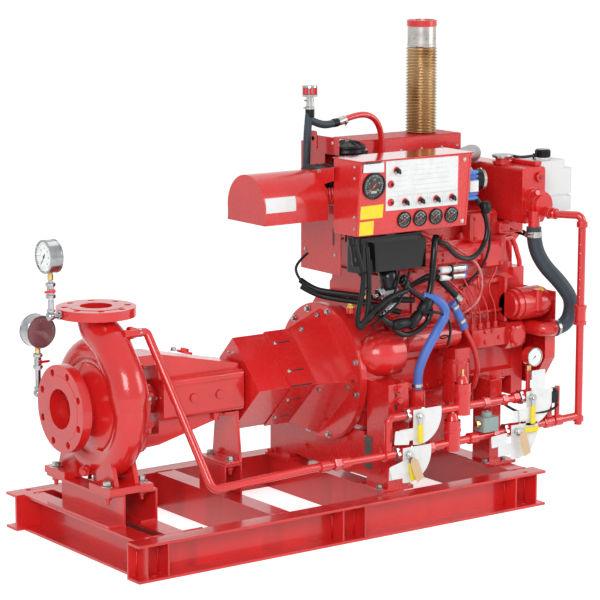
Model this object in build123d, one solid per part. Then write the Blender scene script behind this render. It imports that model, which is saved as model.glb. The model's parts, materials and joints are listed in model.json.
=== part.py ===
"""Diesel fire pump on a channel-iron base: an end-suction volute pump, a guarded coupling and a
four-cylinder diesel engine with its cooling loop, panel and exhaust. Millimetres, +Z up.
X runs along the drive line from the suction flange (-X) to the engine's front (+X).
The origin is the centre of the anchor holes on the underside of the base.
"""
from build123d import *
from math import cos, sin, tan, radians, sqrt
import os

# Base frame
BASE_L = 1633.0
BASE_W = 820.0
BASE_H = 120.0
CHANNEL_B = 70.0
CHANNEL_WEB = 7.0
CHANNEL_FLANGE = 9.0
END_RECESS = 28.0
STIFFENER_T = 6.0
STIFFENER_W = 58.0
STIFFENER_X = (-783.0, -706.0, -38.0, 50.0, 690.0, 780.0)
ANCHOR_HOLE_R = 9.0
ANCHOR_X = 745.0
ANCHOR_Y = 385.0

# Shaft line and pump
SHAFT_Z = 475.6
DISCHARGE_X = -709.0
SUCTION_REACH = 137.4
DISCHARGE_RISE = 315.0
FOOT_DROP = 250.0
SUCTION_BORE_R = 63.5
SUCTION_FLANGE_R = 139.7
SUCTION_FLANGE_T = 34.9
SUCTION_PCD = 235.0
SUCTION_FACE_R = 105.5
DISCHARGE_BORE_R = 50.8
DISCHARGE_FLANGE_R = 127.0
DISCHARGE_FLANGE_T = 31.8
DISCHARGE_PCD = 200.0
DISCHARGE_FACE_R = 88.0
RAISED_FACE_T = 1.6
FLANGE_HOLE_R = 11.1
FLANGE_HOLES = 8
CASING_WALL = 10.0
IMPELLER_R = 157.5
IMPELLER_T = 34.0
IMPELLER_BLADES = 6
VOLUTE_RING_R = 175.0
VOLUTE_TUBE_R = 41.0
VOLUTE_OFFSET = 20.0
VOLUTE_AWAY_DEG = 250.0
PASSAGE_SIDES = 8
NECK_ROUTE = ((-180.0, 100.0), (-90.0, 205.0), (0.0, 245.0), (0.0, 297.0))
NECK_RADII = [150, 100, 65]
PUMP_TAP_X = -690.0
PUMP_TAP_Y = -130.0
FOOT_L = 160.0
FOOT_W = 400.0
FOOT_T = 22.0
COVER_X = -648.0
SHAFT_R = 21.0

# Coupling guard
GUARD_START_X = -192.0
GUARD_SLEEVE_X = -66.0
GUARD_FLARE_X = 28.0
GUARD_DISC_X = 160.0
GUARD_DISC_T = 3.0
GUARD_HALF = 154.0
GUARD_STEP = 3.0
GUARD_FLARE_HALF = 214.0
GUARD_SHEET = 2.0
GUARD_DISC_R = 229.7

# Engine
ENGINE_REAR_X = 163.3
HOUSING_T = 150.0
HOUSING_R = 232.0
NOSE_R = 74.0
NOSE_L = 112.0
NOSE_Z = 557.0
STARTER_Y = -208.0
STARTER_Z = 590.0
STARTER_R = 42.0
STARTER_END_X = 576.0
CYLINDERS = 4
BLOCK_FRONT_X = 880.0
BLOCK_HALF_W = 150.0
TIMING_FRONT_X = 930.0
TIMING_HALF_W = 148.0
DECK_Z = 800.0
HEAD_TOP_Z = 895.0
ROCKER_TOP_Z = 985.0
PAN_BOTTOM_Z = 165.0
REAR_POST_X = (195.0, 277.0)
REAR_POST_Y = (220.0, 335.0)
REAR_PLATE_BOTTOM = 150.0
REAR_PLATE_TOP = 300.0
REAR_POST_TOP = 480.0
SIDE_COVER_X = (430.0, 640.0)
SIDE_COVER_L = 165.0
FRONT_POST_X = (700.0, 748.0)
FRONT_POST_Y = (159.0, 250.0)

# Exhaust
EXHAUST_X = 706.0
EXHAUST_Y = 150.0
FLEX_BOTTOM = 1205.0
FLEX_TOP = 1622.0
FLEX_BORE_R = 44.0
FLEX_PIPE_R = 48.0
FLEX_WAVE_R = 55.0
FLEX_BAND_R = 52.0
FLEX_WAVES = 28
FLEX_WAVE_START = 1232.0
FLEX_PITCH = 10.6

# Cooling loop
LOOP_Y = -378.0
LOOP_LOW_Z = 260.0
LOOP_RISE = 0.0307
LOOP_LEVEL_X = 240.0
LOOP_HIGH_Z = 382.0
LOOP_PIPE_R = 13.4
VALVE_LOW_LEFT_X = 224.0
VALVE_HIGH_LEFT_X = 266.0
VALVE_LOW_RIGHT_X = 686.0
VALVE_HIGH_RIGHT_X = 751.0
RISER_X = 975.0
RISER_TOP_Z = 968.0
STEM_R = 4.0
STEM_CLEARANCE = 0.05
FACE_CLEARANCE = 0.3

AX_X = Axis((0, 0, SHAFT_Z), (1, 0, 0))


def block(x0, x1, y0, y1, z0, z1):
    return Pos((x0 + x1) / 2, (y0 + y1) / 2, (z0 + z1) / 2) * Box(abs(x1 - x0), abs(y1 - y0), abs(z1 - z0))


def disc_x(x0, x1, r, y=0.0, z=SHAFT_Z):
    return Pos((x0 + x1) / 2, y, z) * Rot(0, 90, 0) * Cylinder(r, abs(x1 - x0))


def disc_y(y0, y1, r, x, z):
    return Pos(x, (y0 + y1) / 2, z) * Rot(90, 0, 0) * Cylinder(r, abs(y1 - y0))


def disc_z(z0, z1, r, x, y):
    return Pos(x, y, (z0 + z1) / 2) * Cylinder(r, abs(z1 - z0))


def rod(start, end, r):
    a = Vector(*start)
    b = Vector(*end)
    plane = Plane(origin=a, z_dir=b - a)
    return extrude(plane * Circle(r), (b - a).length)


def bent_tube(points, r, radii):
    path = FilletPolyline(*points, radius=radii)
    start = Plane(origin=path @ 0, z_dir=path % 0)
    return sweep(start * Circle(r), path=path)


def cord(points, r):
    """A hose through the points, each bend as wide as its two runs allow."""
    runs = [Vector(*b) - Vector(*a) for a, b in zip(points, points[1:])]
    radii = []
    for one, two in zip(runs, runs[1:]):
        turn = radians(one.get_angle(two))
        radii.append(0.45 * min(one.length, two.length) / tan(turn / 2))
    return bent_tube(points, r, radii)


def rounded_block(x0, x1, y0, y1, z0, z1, r):
    body = block(x0, x1, y0, y1, z0, z1)
    return fillet(body.edges().filter_by(Axis.Z), r)


def hex_y(y0, y1, across, x, z):
    plane = Plane(origin=(x, max(y0, y1), z), z_dir=(0, -1, 0))
    return extrude(plane * RegularPolygon(across / 2, 6, major_radius=False), abs(y1 - y0))


def hex_z(z0, z1, across, x, y):
    return Pos(x, y, min(z0, z1)) * extrude(RegularPolygon(across / 2, 6, major_radius=False), abs(z1 - z0))


def hex_x(x0, x1, across, y, z):
    plane = Plane(origin=(min(x0, x1), y, z), z_dir=(1, 0, 0))
    return extrude(plane * RegularPolygon(across / 2, 6, major_radius=False), abs(x1 - x0))


def channel_section():
    outer = Rectangle(CHANNEL_B, BASE_H)
    recess = Pos(CHANNEL_WEB / 2, 0) * Rectangle(CHANNEL_B - CHANNEL_WEB, BASE_H - 2 * CHANNEL_FLANGE)
    return outer - recess


def side_rail(side):
    """A channel whose web is inside and whose flanges point away from the pump."""
    web_y = side * (BASE_W / 2 - CHANNEL_B / 2)
    x_dir = (0, side, 0)
    plane = Plane(origin=(-side * BASE_L / 2, web_y, BASE_H / 2), x_dir=x_dir, z_dir=(side, 0, 0))
    rail = extrude(plane * channel_section(), BASE_L)
    web_face = side * (BASE_W / 2 - CHANNEL_B + CHANNEL_WEB)
    for x in STIFFENER_X:
        rail += block(x - STIFFENER_T / 2, x + STIFFENER_T / 2, web_face, web_face + side * STIFFENER_W,
                      CHANNEL_FLANGE, BASE_H - CHANNEL_FLANGE)
    for x in (-ANCHOR_X, ANCHOR_X):
        rail -= disc_z(-1, BASE_H + 1, ANCHOR_HOLE_R, x, side * ANCHOR_Y)
    return rail


def cross_channel(web_x, facing):
    """A channel between the rails: web_x is its flat outer face, facing the way its flanges point."""
    length = BASE_W - 2 * CHANNEL_B
    plane = Plane(origin=(web_x + facing * CHANNEL_B / 2, facing * -length / 2, BASE_H / 2),
                  x_dir=(facing, 0, 0), z_dir=(0, facing, 0))
    return extrude(plane * channel_section(), length)


WEB_X_PUMP_END = -BASE_L / 2 + END_RECESS + CHANNEL_B
WEB_X_ENGINE_END = BASE_L / 2 - END_RECESS - CHANNEL_B
CROSS_WEB_X = {"second": -606.0, "bearing": -276.0, "engine_rear": 190.0}


def cross_beams():
    beams = [cross_channel(WEB_X_PUMP_END, -1), cross_channel(CROSS_WEB_X["second"], -1)]
    beams += [cross_channel(CROSS_WEB_X[name], 1) for name in ("bearing", "engine_rear")]
    beams.append(cross_channel(WEB_X_ENGINE_END, 1))
    return Compound(children=beams)


# Pedestals under the pump
PEDESTAL_W = 62.0
PEDESTAL_HALF_L = 190.0
PEDESTAL_X = (-788.0, -670.0)
BEARING_FOOT_X = -276.0
BEARING_FOOT_TOP = 236.0
BEARING_PEDESTAL_HALF = 75.0


def pump_pedestals():
    """Two channels under the pump feet and a box under the bearing foot."""
    top = SHAFT_Z - FOOT_DROP
    beams = []
    for x in PEDESTAL_X:
        beam = block(x, x + PEDESTAL_W, -PEDESTAL_HALF_L, PEDESTAL_HALF_L, BASE_H, top)
        beam -= block(x - 1, x + PEDESTAL_W - CHANNEL_WEB, -PEDESTAL_HALF_L - 1, PEDESTAL_HALF_L + 1,
                      BASE_H + CHANNEL_FLANGE, top - CHANNEL_FLANGE)
        beams.append(beam)
    x0 = BEARING_FOOT_X
    box = block(x0, x0 + CHANNEL_B, -BEARING_PEDESTAL_HALF, BEARING_PEDESTAL_HALF, BASE_H, BEARING_FOOT_TOP - 10)
    box -= block(x0 + 8, x0 + CHANNEL_B - 8, -BEARING_PEDESTAL_HALF - 1, BEARING_PEDESTAL_HALF + 1,
                 BASE_H - 1, BEARING_FOOT_TOP - 18)
    beams.append(box)
    return Compound(children=beams)


FLANGE_ANGLES = [radians((i + 0.5) * 360 / FLANGE_HOLES) for i in range(FLANGE_HOLES)]


# Pump casing
def volute(extra):
    """The water space grown by extra: a ring set off-centre, so that it widens round to the throat,
    a taper out of it and a neck that bends back to the middle under the discharge flange.
    The passage itself, with nothing added, has flat facets round its section."""
    away = radians(VOLUTE_AWAY_DEG)
    ring_y = VOLUTE_OFFSET * sin(away)
    ring_z = SHAFT_Z + VOLUTE_OFFSET * cos(away)
    tube = Circle(VOLUTE_TUBE_R + extra) if extra else RegularPolygon(VOLUTE_TUBE_R, PASSAGE_SIDES)
    section = Plane.XZ * (Pos(0, VOLUTE_RING_R) * tube)
    ring = Pos(DISCHARGE_X, ring_y, ring_z) * revolve(section, Axis.X)
    route = [(DISCHARGE_X, ring_y - VOLUTE_RING_R, SHAFT_Z - 10)]
    route += [(DISCHARGE_X, y, SHAFT_Z + z) for y, z in NECK_ROUTE]
    throat = Vector(*route[0]) + (Vector(*route[1]) - Vector(*route[0])) * 0.55
    first = Plane(origin=route[0], x_dir=(1, 0, 0), z_dir=throat - Vector(*route[0]))
    taper = loft([first * Circle(VOLUTE_TUBE_R + extra - 2),
                  Plane(origin=throat, x_dir=(1, 0, 0), z_dir=first.z_dir) * Circle(DISCHARGE_BORE_R + extra)], ruled=True)
    return ring + taper + bent_tube([tuple(throat)] + route[1:], DISCHARGE_BORE_R + extra, NECK_RADII)


def suction_flange():
    """Flange of the suction branch, raised face outwards, with its bolt holes off the centre lines."""
    x = DISCHARGE_X - SUCTION_REACH
    body = disc_x(x + RAISED_FACE_T, x + SUCTION_FLANGE_T, SUCTION_FLANGE_R)
    body += disc_x(x, x + SUCTION_FLANGE_T, SUCTION_FACE_R)
    body -= disc_x(x - 1, x + SUCTION_FLANGE_T + 1, SUCTION_BORE_R)
    for angle in FLANGE_ANGLES:
        body -= disc_x(x - 1, x + SUCTION_FLANGE_T + 1, FLANGE_HOLE_R,
                       SUCTION_PCD / 2 * cos(angle), SHAFT_Z + SUCTION_PCD / 2 * sin(angle))
    return body


def discharge_flange():
    """Flange on top of the neck, raised face upwards."""
    top = SHAFT_Z + DISCHARGE_RISE
    body = disc_z(top - DISCHARGE_FLANGE_T, top - RAISED_FACE_T, DISCHARGE_FLANGE_R, DISCHARGE_X, 0)
    body += disc_z(top - DISCHARGE_FLANGE_T, top, DISCHARGE_FACE_R, DISCHARGE_X, 0)
    body -= disc_z(top - DISCHARGE_FLANGE_T - 1, top + 1, DISCHARGE_BORE_R, DISCHARGE_X, 0)
    for angle in FLANGE_ANGLES:
        body -= disc_z(top - DISCHARGE_FLANGE_T - 1, top + 1, FLANGE_HOLE_R,
                       DISCHARGE_X + DISCHARGE_PCD / 2 * cos(angle), DISCHARGE_PCD / 2 * sin(angle))
    return body


def pump_casing():
    suction_x = DISCHARGE_X - SUCTION_REACH
    top = SHAFT_Z + DISCHARGE_RISE
    foot_z = SHAFT_Z - FOOT_DROP
    body = volute(CASING_WALL)
    flange_back = suction_x + SUCTION_FLANGE_T
    dish = [(flange_back, 0), (flange_back, SUCTION_BORE_R + CASING_WALL + 2),
            (suction_x + 70, SUCTION_BORE_R + CASING_WALL + 4), (DISCHARGE_X - 36, IMPELLER_R - 6),
            (DISCHARGE_X + 20, IMPELLER_R + 22), (COVER_X, IMPELLER_R + 22), (COVER_X, 0)]
    profile = make_face(Polyline(*[(x, r + SHAFT_Z) for x, r in dish], close=True))
    body += revolve(Plane.XZ * profile, AX_X)
    for side in (-1, 1):
        y_in = side * 75
        y_out = side * FOOT_W / 2
        body += block(DISCHARGE_X - FOOT_L / 2, DISCHARGE_X + FOOT_L / 2, y_in, y_out, foot_z, foot_z + FOOT_T)
        for x in (DISCHARGE_X - 45, DISCHARGE_X + 30):
            rib = make_face(Polyline((side * 60, foot_z + 5), (side * 178, foot_z + 5), (side * 150, foot_z + 90),
                                     (side * 120, foot_z + 120), (side * 60, foot_z + 120), close=True))
            body += Pos(x, 0, 0) * extrude(Plane.YZ * rib, 16)
    body -= volute(0)
    body -= disc_z(top - DISCHARGE_FLANGE_T, top + 1, DISCHARGE_FLANGE_R, DISCHARGE_X, 0)
    body -= disc_x(suction_x - 1, DISCHARGE_X - 20, SUCTION_BORE_R)
    body -= disc_x(DISCHARGE_X - IMPELLER_T / 2 - 4, COVER_X + 1, IMPELLER_R + 6)
    return body


def impeller():
    """Open wheel on the pump shaft, which runs through the bearing box to the coupling."""
    hub = disc_x(DISCHARGE_X - 30, COVER_X - 6, 34)
    back = disc_x(DISCHARGE_X + IMPELLER_T / 2 - 5, DISCHARGE_X + IMPELLER_T / 2 + 1, IMPELLER_R)
    wheel = hub + back + disc_x(COVER_X - 6, GUARD_START_X + 40, SHAFT_R)
    for i in range(IMPELLER_BLADES):
        blade = block(DISCHARGE_X - 14, DISCHARGE_X + IMPELLER_T / 2, -4, 4, SHAFT_Z + 25, SHAFT_Z + IMPELLER_R - 4)
        wheel += blade.rotate(AX_X, i * 360 / IMPELLER_BLADES)
    return wheel


def casing_cover():
    body = disc_x(COVER_X, COVER_X + 16, 196)
    body += disc_x(COVER_X + 16, COVER_X + 70, 70)
    body -= disc_x(COVER_X - 1, COVER_X + 71, SHAFT_R + 0.3)
    for i in range(8):
        angle = radians(22.5 + i * 45)
        body += hex_x(COVER_X + 16, COVER_X + 30, 24, 178 * cos(angle), SHAFT_Z + 178 * sin(angle))
    return body


BRACKET_FRONT_X = COVER_X + 16
BRACKET_BOX_X = -515.0
BRACKET_END_X = -206.0
BRACKET_HALF_W = 86.0


def bearing_bracket():
    """Cast box between pump and coupling, with an open lantern at the casing end."""
    box = block(BRACKET_BOX_X, BRACKET_END_X, -BRACKET_HALF_W, BRACKET_HALF_W, SHAFT_Z - 68, SHAFT_Z + 64)
    box = fillet(box.edges().filter_by(Axis.X), 14)
    ring = disc_x(BRACKET_FRONT_X, BRACKET_FRONT_X + 16, 150)
    ring -= disc_x(BRACKET_FRONT_X - 1, BRACKET_FRONT_X + 17, 110)
    body = box + ring
    spine = make_face(Polyline((BRACKET_FRONT_X, SHAFT_Z + 112), (BRACKET_FRONT_X, SHAFT_Z + 147),
                               (BRACKET_BOX_X, SHAFT_Z + 146), (BRACKET_END_X, SHAFT_Z + 80),
                               (BRACKET_END_X, SHAFT_Z + 60), (BRACKET_BOX_X, SHAFT_Z + 60),
                               (BRACKET_BOX_X, SHAFT_Z + 112), close=True))
    body += Pos(0, 55, 0) * extrude(Plane.XZ * spine, 110)
    keel = make_face(Polyline((BRACKET_FRONT_X, SHAFT_Z - 112), (BRACKET_FRONT_X, SHAFT_Z - 156),
                              (BRACKET_BOX_X, SHAFT_Z - 150), (BRACKET_END_X - 90, SHAFT_Z - 96),
                              (BRACKET_END_X - 90, SHAFT_Z - 66), (BRACKET_BOX_X, SHAFT_Z - 66),
                              (BRACKET_BOX_X, SHAFT_Z - 112), close=True))
    body += Pos(0, 55, 0) * extrude(Plane.XZ * keel, 110)
    body -= disc_x(BRACKET_BOX_X - 1, BRACKET_END_X + 1, SHAFT_R + 0.3)
    return body


def bearing_foot():
    x0 = BEARING_FOOT_X
    flat = block(x0, x0 + 66, -80, 80, BEARING_FOOT_TOP - 10, BEARING_FOOT_TOP)
    web = make_face(Polyline((-80, BEARING_FOOT_TOP), (80, BEARING_FOOT_TOP), (62, SHAFT_Z - 86), (-62, SHAFT_Z - 86),
                             close=True))
    body = flat + Pos(x0 + 56, 0, 0) * extrude(Plane.YZ * web, 10)
    body += block(x0 + 10, x0 + 66, -62, 62, SHAFT_Z - 86, SHAFT_Z - 76)
    body += block(x0 + 12, x0 + 40, -20, 20, SHAFT_Z - 86, SHAFT_Z - 68.3)
    return body


# Coupling guard
def diamond(half):
    return Polyline((0, SHAFT_Z + half), (-half, SHAFT_Z), (0, SHAFT_Z - half), (half, SHAFT_Z), close=True)


def diamond_face(x, half):
    return Pos(x, 0, 0) * (Plane.YZ * make_face(diamond(half)))


def guard_front():
    outer = extrude(diamond_face(GUARD_START_X, GUARD_HALF), GUARD_SLEEVE_X + 30 - GUARD_START_X)
    inner = extrude(diamond_face(GUARD_START_X + GUARD_SHEET, GUARD_HALF - GUARD_SHEET * sqrt(2)),
                    GUARD_SLEEVE_X + 40 - GUARD_START_X)
    return outer - inner - disc_x(GUARD_START_X - 1, GUARD_START_X + 5, SHAFT_R + 12)


def guard_rear():
    half = GUARD_HALF + GUARD_STEP + GUARD_SHEET * sqrt(2)
    outer = extrude(diamond_face(GUARD_SLEEVE_X, half), GUARD_FLARE_X - GUARD_SLEEVE_X)
    inner = extrude(diamond_face(GUARD_SLEEVE_X - 1, GUARD_HALF + 0.4), GUARD_FLARE_X - GUARD_SLEEVE_X + 2)
    flare_out = loft([diamond_face(GUARD_FLARE_X, half), diamond_face(GUARD_DISC_X, GUARD_FLARE_HALF)])
    flare_in = loft([diamond_face(GUARD_FLARE_X, GUARD_HALF + 0.4),
                     diamond_face(GUARD_DISC_X, GUARD_FLARE_HALF - 4)])
    body = outer - inner
    body += flare_out - flare_in
    disc = disc_x(GUARD_DISC_X, GUARD_DISC_X + GUARD_DISC_T, GUARD_DISC_R)
    disc -= extrude(diamond_face(GUARD_DISC_X - 1, GUARD_FLARE_HALF - 4), GUARD_DISC_T + 2)
    return body + disc


def drive_coupling():
    body = disc_x(GUARD_START_X + 40.3, GUARD_SLEEVE_X + 20, 55)
    body += disc_x(GUARD_SLEEVE_X + 20, GUARD_SLEEVE_X + 50, 85)
    body += disc_x(GUARD_SLEEVE_X + 50, ENGINE_REAR_X - 0.3, 50)
    return body


# Engine
def flywheel_housing():
    """Bell between guard and block: round flange, tapering bell, starter nose and mounting shoulders."""
    rear = ENGINE_REAR_X
    body = disc_x(rear, rear + 22, HOUSING_R)
    body += disc_x(rear + 22, rear + HOUSING_T, HOUSING_R - 12)
    nose = Line((rear + 4, 0), (rear + HOUSING_T, 0)) + Line((rear + HOUSING_T, 0), (rear + HOUSING_T, NOSE_R))
    nose += Line((rear + HOUSING_T, NOSE_R), (rear + NOSE_L, NOSE_R))
    nose += ThreePointArc((rear + NOSE_L, NOSE_R), (rear + 0.36 * NOSE_L, 0.74 * NOSE_R), (rear + 4, 0))
    body += Pos(0, STARTER_Y, NOSE_Z) * revolve(Plane.XZ * make_face(nose), Axis.X)
    body += block(rear + 40, rear + HOUSING_T, -190, 190, SHAFT_Z - 160, SHAFT_Z + 120)
    shoulder = make_face(Polyline((rear + 60, SHAFT_Z + 100), (rear + 60, SHAFT_Z + 205), (rear + 85, SHAFT_Z + 240),
                                  (rear + HOUSING_T, SHAFT_Z + 250), (rear + HOUSING_T, SHAFT_Z + 100), close=True))
    body += Pos(0, 130, 0) * extrude(Plane.XZ * shoulder, 260)
    return body


def engine_feet_rear():
    """A post each side on the rear cross beam, joined by the plate that carries the bell housing."""
    x0, x1 = REAR_POST_X
    y0, y1 = REAR_POST_Y
    body = block(x0, x0 + 10, -y1, y1, REAR_PLATE_BOTTOM, REAR_PLATE_TOP)
    body -= block(x0 - 1, x0 + 11, -250, -205, 225, 310)
    for side in (-1, 1):
        post = block(x0, x1, side * y0, side * y1, BASE_H + 12, REAR_POST_TOP)
        post -= block(x0 + 10, x1 - 10, side * (y0 - 1), side * (y1 - 10), BASE_H + 30, REAR_POST_TOP - 10)
        body += post
        body += block(x0 - 22, x1 + 25, side * (y0 - 15), side * y1, BASE_H, BASE_H + 12)
    return body - disc_x(x0 - 1, x0 + 11, HOUSING_R - 11.7)


def engine_feet_front():
    feet = []
    for side in (-1, 1):
        x0, x1 = FRONT_POST_X
        y0, y1 = (side * y for y in FRONT_POST_Y)
        post = block(x0, x1, y0, y1, BASE_H + 12, 420)
        post += block(x0 - 20, x1 + 62, y0 - side * 9, y1 + side * 12, BASE_H, BASE_H + 12)
        post += block(x0, x1, side * (BLOCK_HALF_W + 0.3), y0, 402, 420)
        feet.append(post)
    return Compound(children=feet)


def engine_block():
    """Block with the timing cover and its water pump housing at the front."""
    x0 = ENGINE_REAR_X + HOUSING_T
    w = BLOCK_HALF_W
    half = [(w, 400), (w, 425), (w - 11, 437), (w - 11, 503), (w, 515), (w, 745), (w - 14, 762), (w - 14, DECK_Z)]
    section = half + [(-y, z) for y, z in reversed(half)]
    body = Pos(x0, 0, 0) * extrude(Plane.YZ * make_face(Polyline(*section, close=True)), BLOCK_FRONT_X - x0)
    for x in SIDE_COVER_X:
        cover = block(x, x + SIDE_COVER_L, -w - 7, w + 7, 622, 738)
        body += fillet(cover.edges().filter_by(Axis.Y), 9)
    body += block(BLOCK_FRONT_X, TIMING_FRONT_X, -TIMING_HALF_W, TIMING_HALF_W, 330, DECK_Z - 20)
    body += disc_x(TIMING_FRONT_X, TIMING_FRONT_X + 20, 62, y=-60, z=590)
    body += bent_tube([(949.7, -286, 578), (905, -286, 578), (905, -TIMING_HALF_W + 5, 578)], 25, [30])
    return body


def oil_pan():
    """Pressed pan with a flange, a shallow front and a deep sump at the flywheel end."""
    x0 = ENGINE_REAR_X + HOUSING_T
    side = Polyline((x0, 388), (x0, 300), (x0 + 30, 270), (x0 + 30, PAN_BOTTOM_Z + 20), (x0 + 50, PAN_BOTTOM_Z),
                    (x0 + 300, PAN_BOTTOM_Z), (x0 + 350, 290), (BLOCK_FRONT_X - 40, 310),
                    (BLOCK_FRONT_X - 20, 330), (BLOCK_FRONT_X - 20, 388), close=True)
    body = Pos(0, 128, 0) * extrude(Plane.XZ * make_face(side), 256)
    return body + block(x0, BLOCK_FRONT_X - 20, -144, 144, 388, 400)


def cylinder_head():
    """Head with the intake box along its near side and a thermostat housing at the front."""
    x0 = ENGINE_REAR_X + HOUSING_T
    body = block(x0 + 20, BLOCK_FRONT_X - 20, -135, 135, DECK_Z, HEAD_TOP_Z)
    intake = Polyline((-134, 812), (-158, 812), (-176, 828), (-176, 868), (-160, 884), (-134, 884), close=True)
    body += Pos(430, 0, 0) * extrude(Plane.YZ * make_face(intake), 380)
    for i in range(CYLINDERS):
        body += block(446 + i * 92, 492 + i * 92, -150, -134, 800, 818)
    return body


def rocker_cover():
    x0 = ENGINE_REAR_X + HOUSING_T
    body = block(x0 + 40, BLOCK_FRONT_X - 40, -110, 90, HEAD_TOP_Z, ROCKER_TOP_Z)
    return fillet(body.edges().group_by(Axis.Z)[-1], 20)


# Belt drive end
GUARD_PLATE_X = 985.0


def guard_outline(inset, top):
    """Outline of the belt guard seen from the front, straight above and rounded below by chamfers."""
    y0, y1, low = -256.0 + inset, 200.0 - inset, 370.0 + inset
    return Polyline((y0, top), (y0, 470), (-200 + inset, 385 + inset), (-150, low), (150, low), (y1, 420), (y1, top),
                    close=True)


def belt_guard():
    """Sheet cover in front of the belts: a plate with a rim along its lower edges."""
    plate = Pos(GUARD_PLATE_X - 4, 0, 0) * extrude(Plane.YZ * make_face(guard_outline(0, 700)), 4)
    rim = Pos(GUARD_PLATE_X - 45, 0, 0) * extrude(Plane.YZ * make_face(guard_outline(0, 590)), 45)
    rim -= Pos(GUARD_PLATE_X - 46, 0, 0) * extrude(Plane.YZ * make_face(guard_outline(4, 591)), 47)
    body = plate + rim
    for y in (-120, 100):
        body += block(TIMING_FRONT_X, GUARD_PLATE_X - 5, y, y + 20, 366, 370)
        body += block(TIMING_FRONT_X, TIMING_FRONT_X + 4, y, y + 20, 340, 370)
    return body


def belt_drive():
    """Crank and water pump pulleys with the belt between them."""
    crank_z, pump_y, pump_z = 450.0, -60.0, 590.0
    x0, x1 = GUARD_PLATE_X - 32, GUARD_PLATE_X - 10
    body = disc_x(TIMING_FRONT_X, x1, 24, y=0, z=crank_z) + disc_x(x0, x1, 60, y=0, z=crank_z)
    body += disc_x(TIMING_FRONT_X + 20, x1, 18, y=pump_y, z=pump_z) + disc_x(x0, x1, 48, y=pump_y, z=pump_z)
    return body


def alternator():
    """Housing with stepped end bells, its pulley boss and the arm that bolts it to the block."""
    steps = ((800, 816, 44), (816, 838, 52), (838, 936, 56), (936, 954, 50), (954, 966, 34))
    body = disc_x(steps[0][0], steps[-1][1], 20, y=-215, z=665)
    for x0, x1, r in steps:
        body += disc_x(x0, x1, r, y=-215, z=665)
    return body + block(830, 870, -180, -BLOCK_HALF_W - 0.3, 640, 690)


def bypass_pipe():
    """Water pipe from the front of the head down to the water pump housing."""
    return bent_tube([(860.3, -112, 878), (904, -112, 878), (920, -112, 848), (941, -112, 790), (941, -112, 635.1)],
                     9, [16, 22, 40])


def starter_motor():
    """Starter behind the bell's nose, with its solenoid above it and a stepped end cover."""
    x0 = ENGINE_REAR_X + HOUSING_T
    body = disc_x(x0, STARTER_END_X - 14, STARTER_R, y=STARTER_Y, z=STARTER_Z)
    body += disc_x(STARTER_END_X - 14, STARTER_END_X - 4, STARTER_R - 3, y=STARTER_Y, z=STARTER_Z)
    body += disc_x(STARTER_END_X - 4, STARTER_END_X, STARTER_R - 24, y=STARTER_Y, z=STARTER_Z)
    body += disc_x(x0, x0 + 128, 24, y=STARTER_Y + 18, z=STARTER_Z + 62)
    return body


def oil_filter():
    """Spun can on its head, which is bolted to the block."""
    profile = Polyline((0, 352), (38, 352), (46, 362), (46, 496), (42, 502), (42, 510), (0, 510), close=True)
    body = Pos(577, -215, 0) * revolve(Plane.XZ * make_face(profile), Axis.Z)
    head = rounded_block(542, 612, -255, -BLOCK_HALF_W - 0.3, 510, 547, 12)
    return body + head


def injection_pump():
    """Pump body with four outlets on top and a faceted drive housing at its front."""
    y0, y1 = -235.0, -BLOCK_HALF_W - 0.3
    body = block(640, 792, y0 + 12, y1, 532, 592)
    house = Polyline((y1, 514), (y0 + 20, 514), (y0, 534), (y0, 584), (y0 + 20, 604), (y1, 604), close=True)
    body += Pos(792, 0, 0) * extrude(Plane.YZ * make_face(house), 74)
    for i in range(CYLINDERS):
        body += disc_z(590, 612, 9, 662 + i * 34, -195)
    return body + disc_x(866, 878.5, 30, y=-195, z=562)


def exhaust_manifold():
    return block(380, 800, 135.3, 200, 845, 950) + disc_z(950, 1205, 48, 706, 150)


def heat_shield():
    """Folded sheet cover over the exhaust, with a wide plate at the flywheel end."""
    body = block(203, 206, -60, 165, 803, 1030) + block(203, 206, 30, 165, 1030, 1236)
    body += block(206, 825, 75, 78, 1120, 1229)
    body += block(206, 825, 75, 225, 1226, 1229) - block(205, 255, 165, 226, 1200, 1230)
    body += block(255, 825, 222, 225, 900, 1229)
    body += block(822, 825, 75, 225, 1120, 1229)
    body += block(640, 646, 200.3, 225, 900, 930)
    return body - disc_z(1200, 1240, 60, 706, 150)


def exhaust_flex():
    """Corrugated stainless flex with a plain pipe end and a painted band on top."""
    wave = [(FLEX_BORE_R, FLEX_BOTTOM), (FLEX_PIPE_R, FLEX_BOTTOM)]
    for i in range(FLEX_WAVES):
        z = FLEX_WAVE_START + i * FLEX_PITCH
        wave += [(FLEX_PIPE_R, z), (FLEX_WAVE_R, z + 0.5 * FLEX_PITCH)]
    wave.append((FLEX_PIPE_R, z + FLEX_PITCH))
    wave += [(FLEX_PIPE_R, FLEX_TOP - 22), (FLEX_BAND_R, FLEX_TOP - 22), (FLEX_BAND_R, FLEX_TOP), (FLEX_BORE_R, FLEX_TOP)]
    section = make_face(Polyline(*[(x, 0, z) for x, z in wave], close=True))
    return Pos(EXHAUST_X, EXHAUST_Y, 0) * revolve(section, Axis.Z)


HOOD_X = (-168.0, 84.0)
HOOD_Y = (-150.0, 59.0)
HOOD_LOW_Z = 1013.0
HOOD_SIDE_Z = 1046.0
HOOD_TOP_Z = 1168.0
HOOD_SHEET = 2.0


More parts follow.
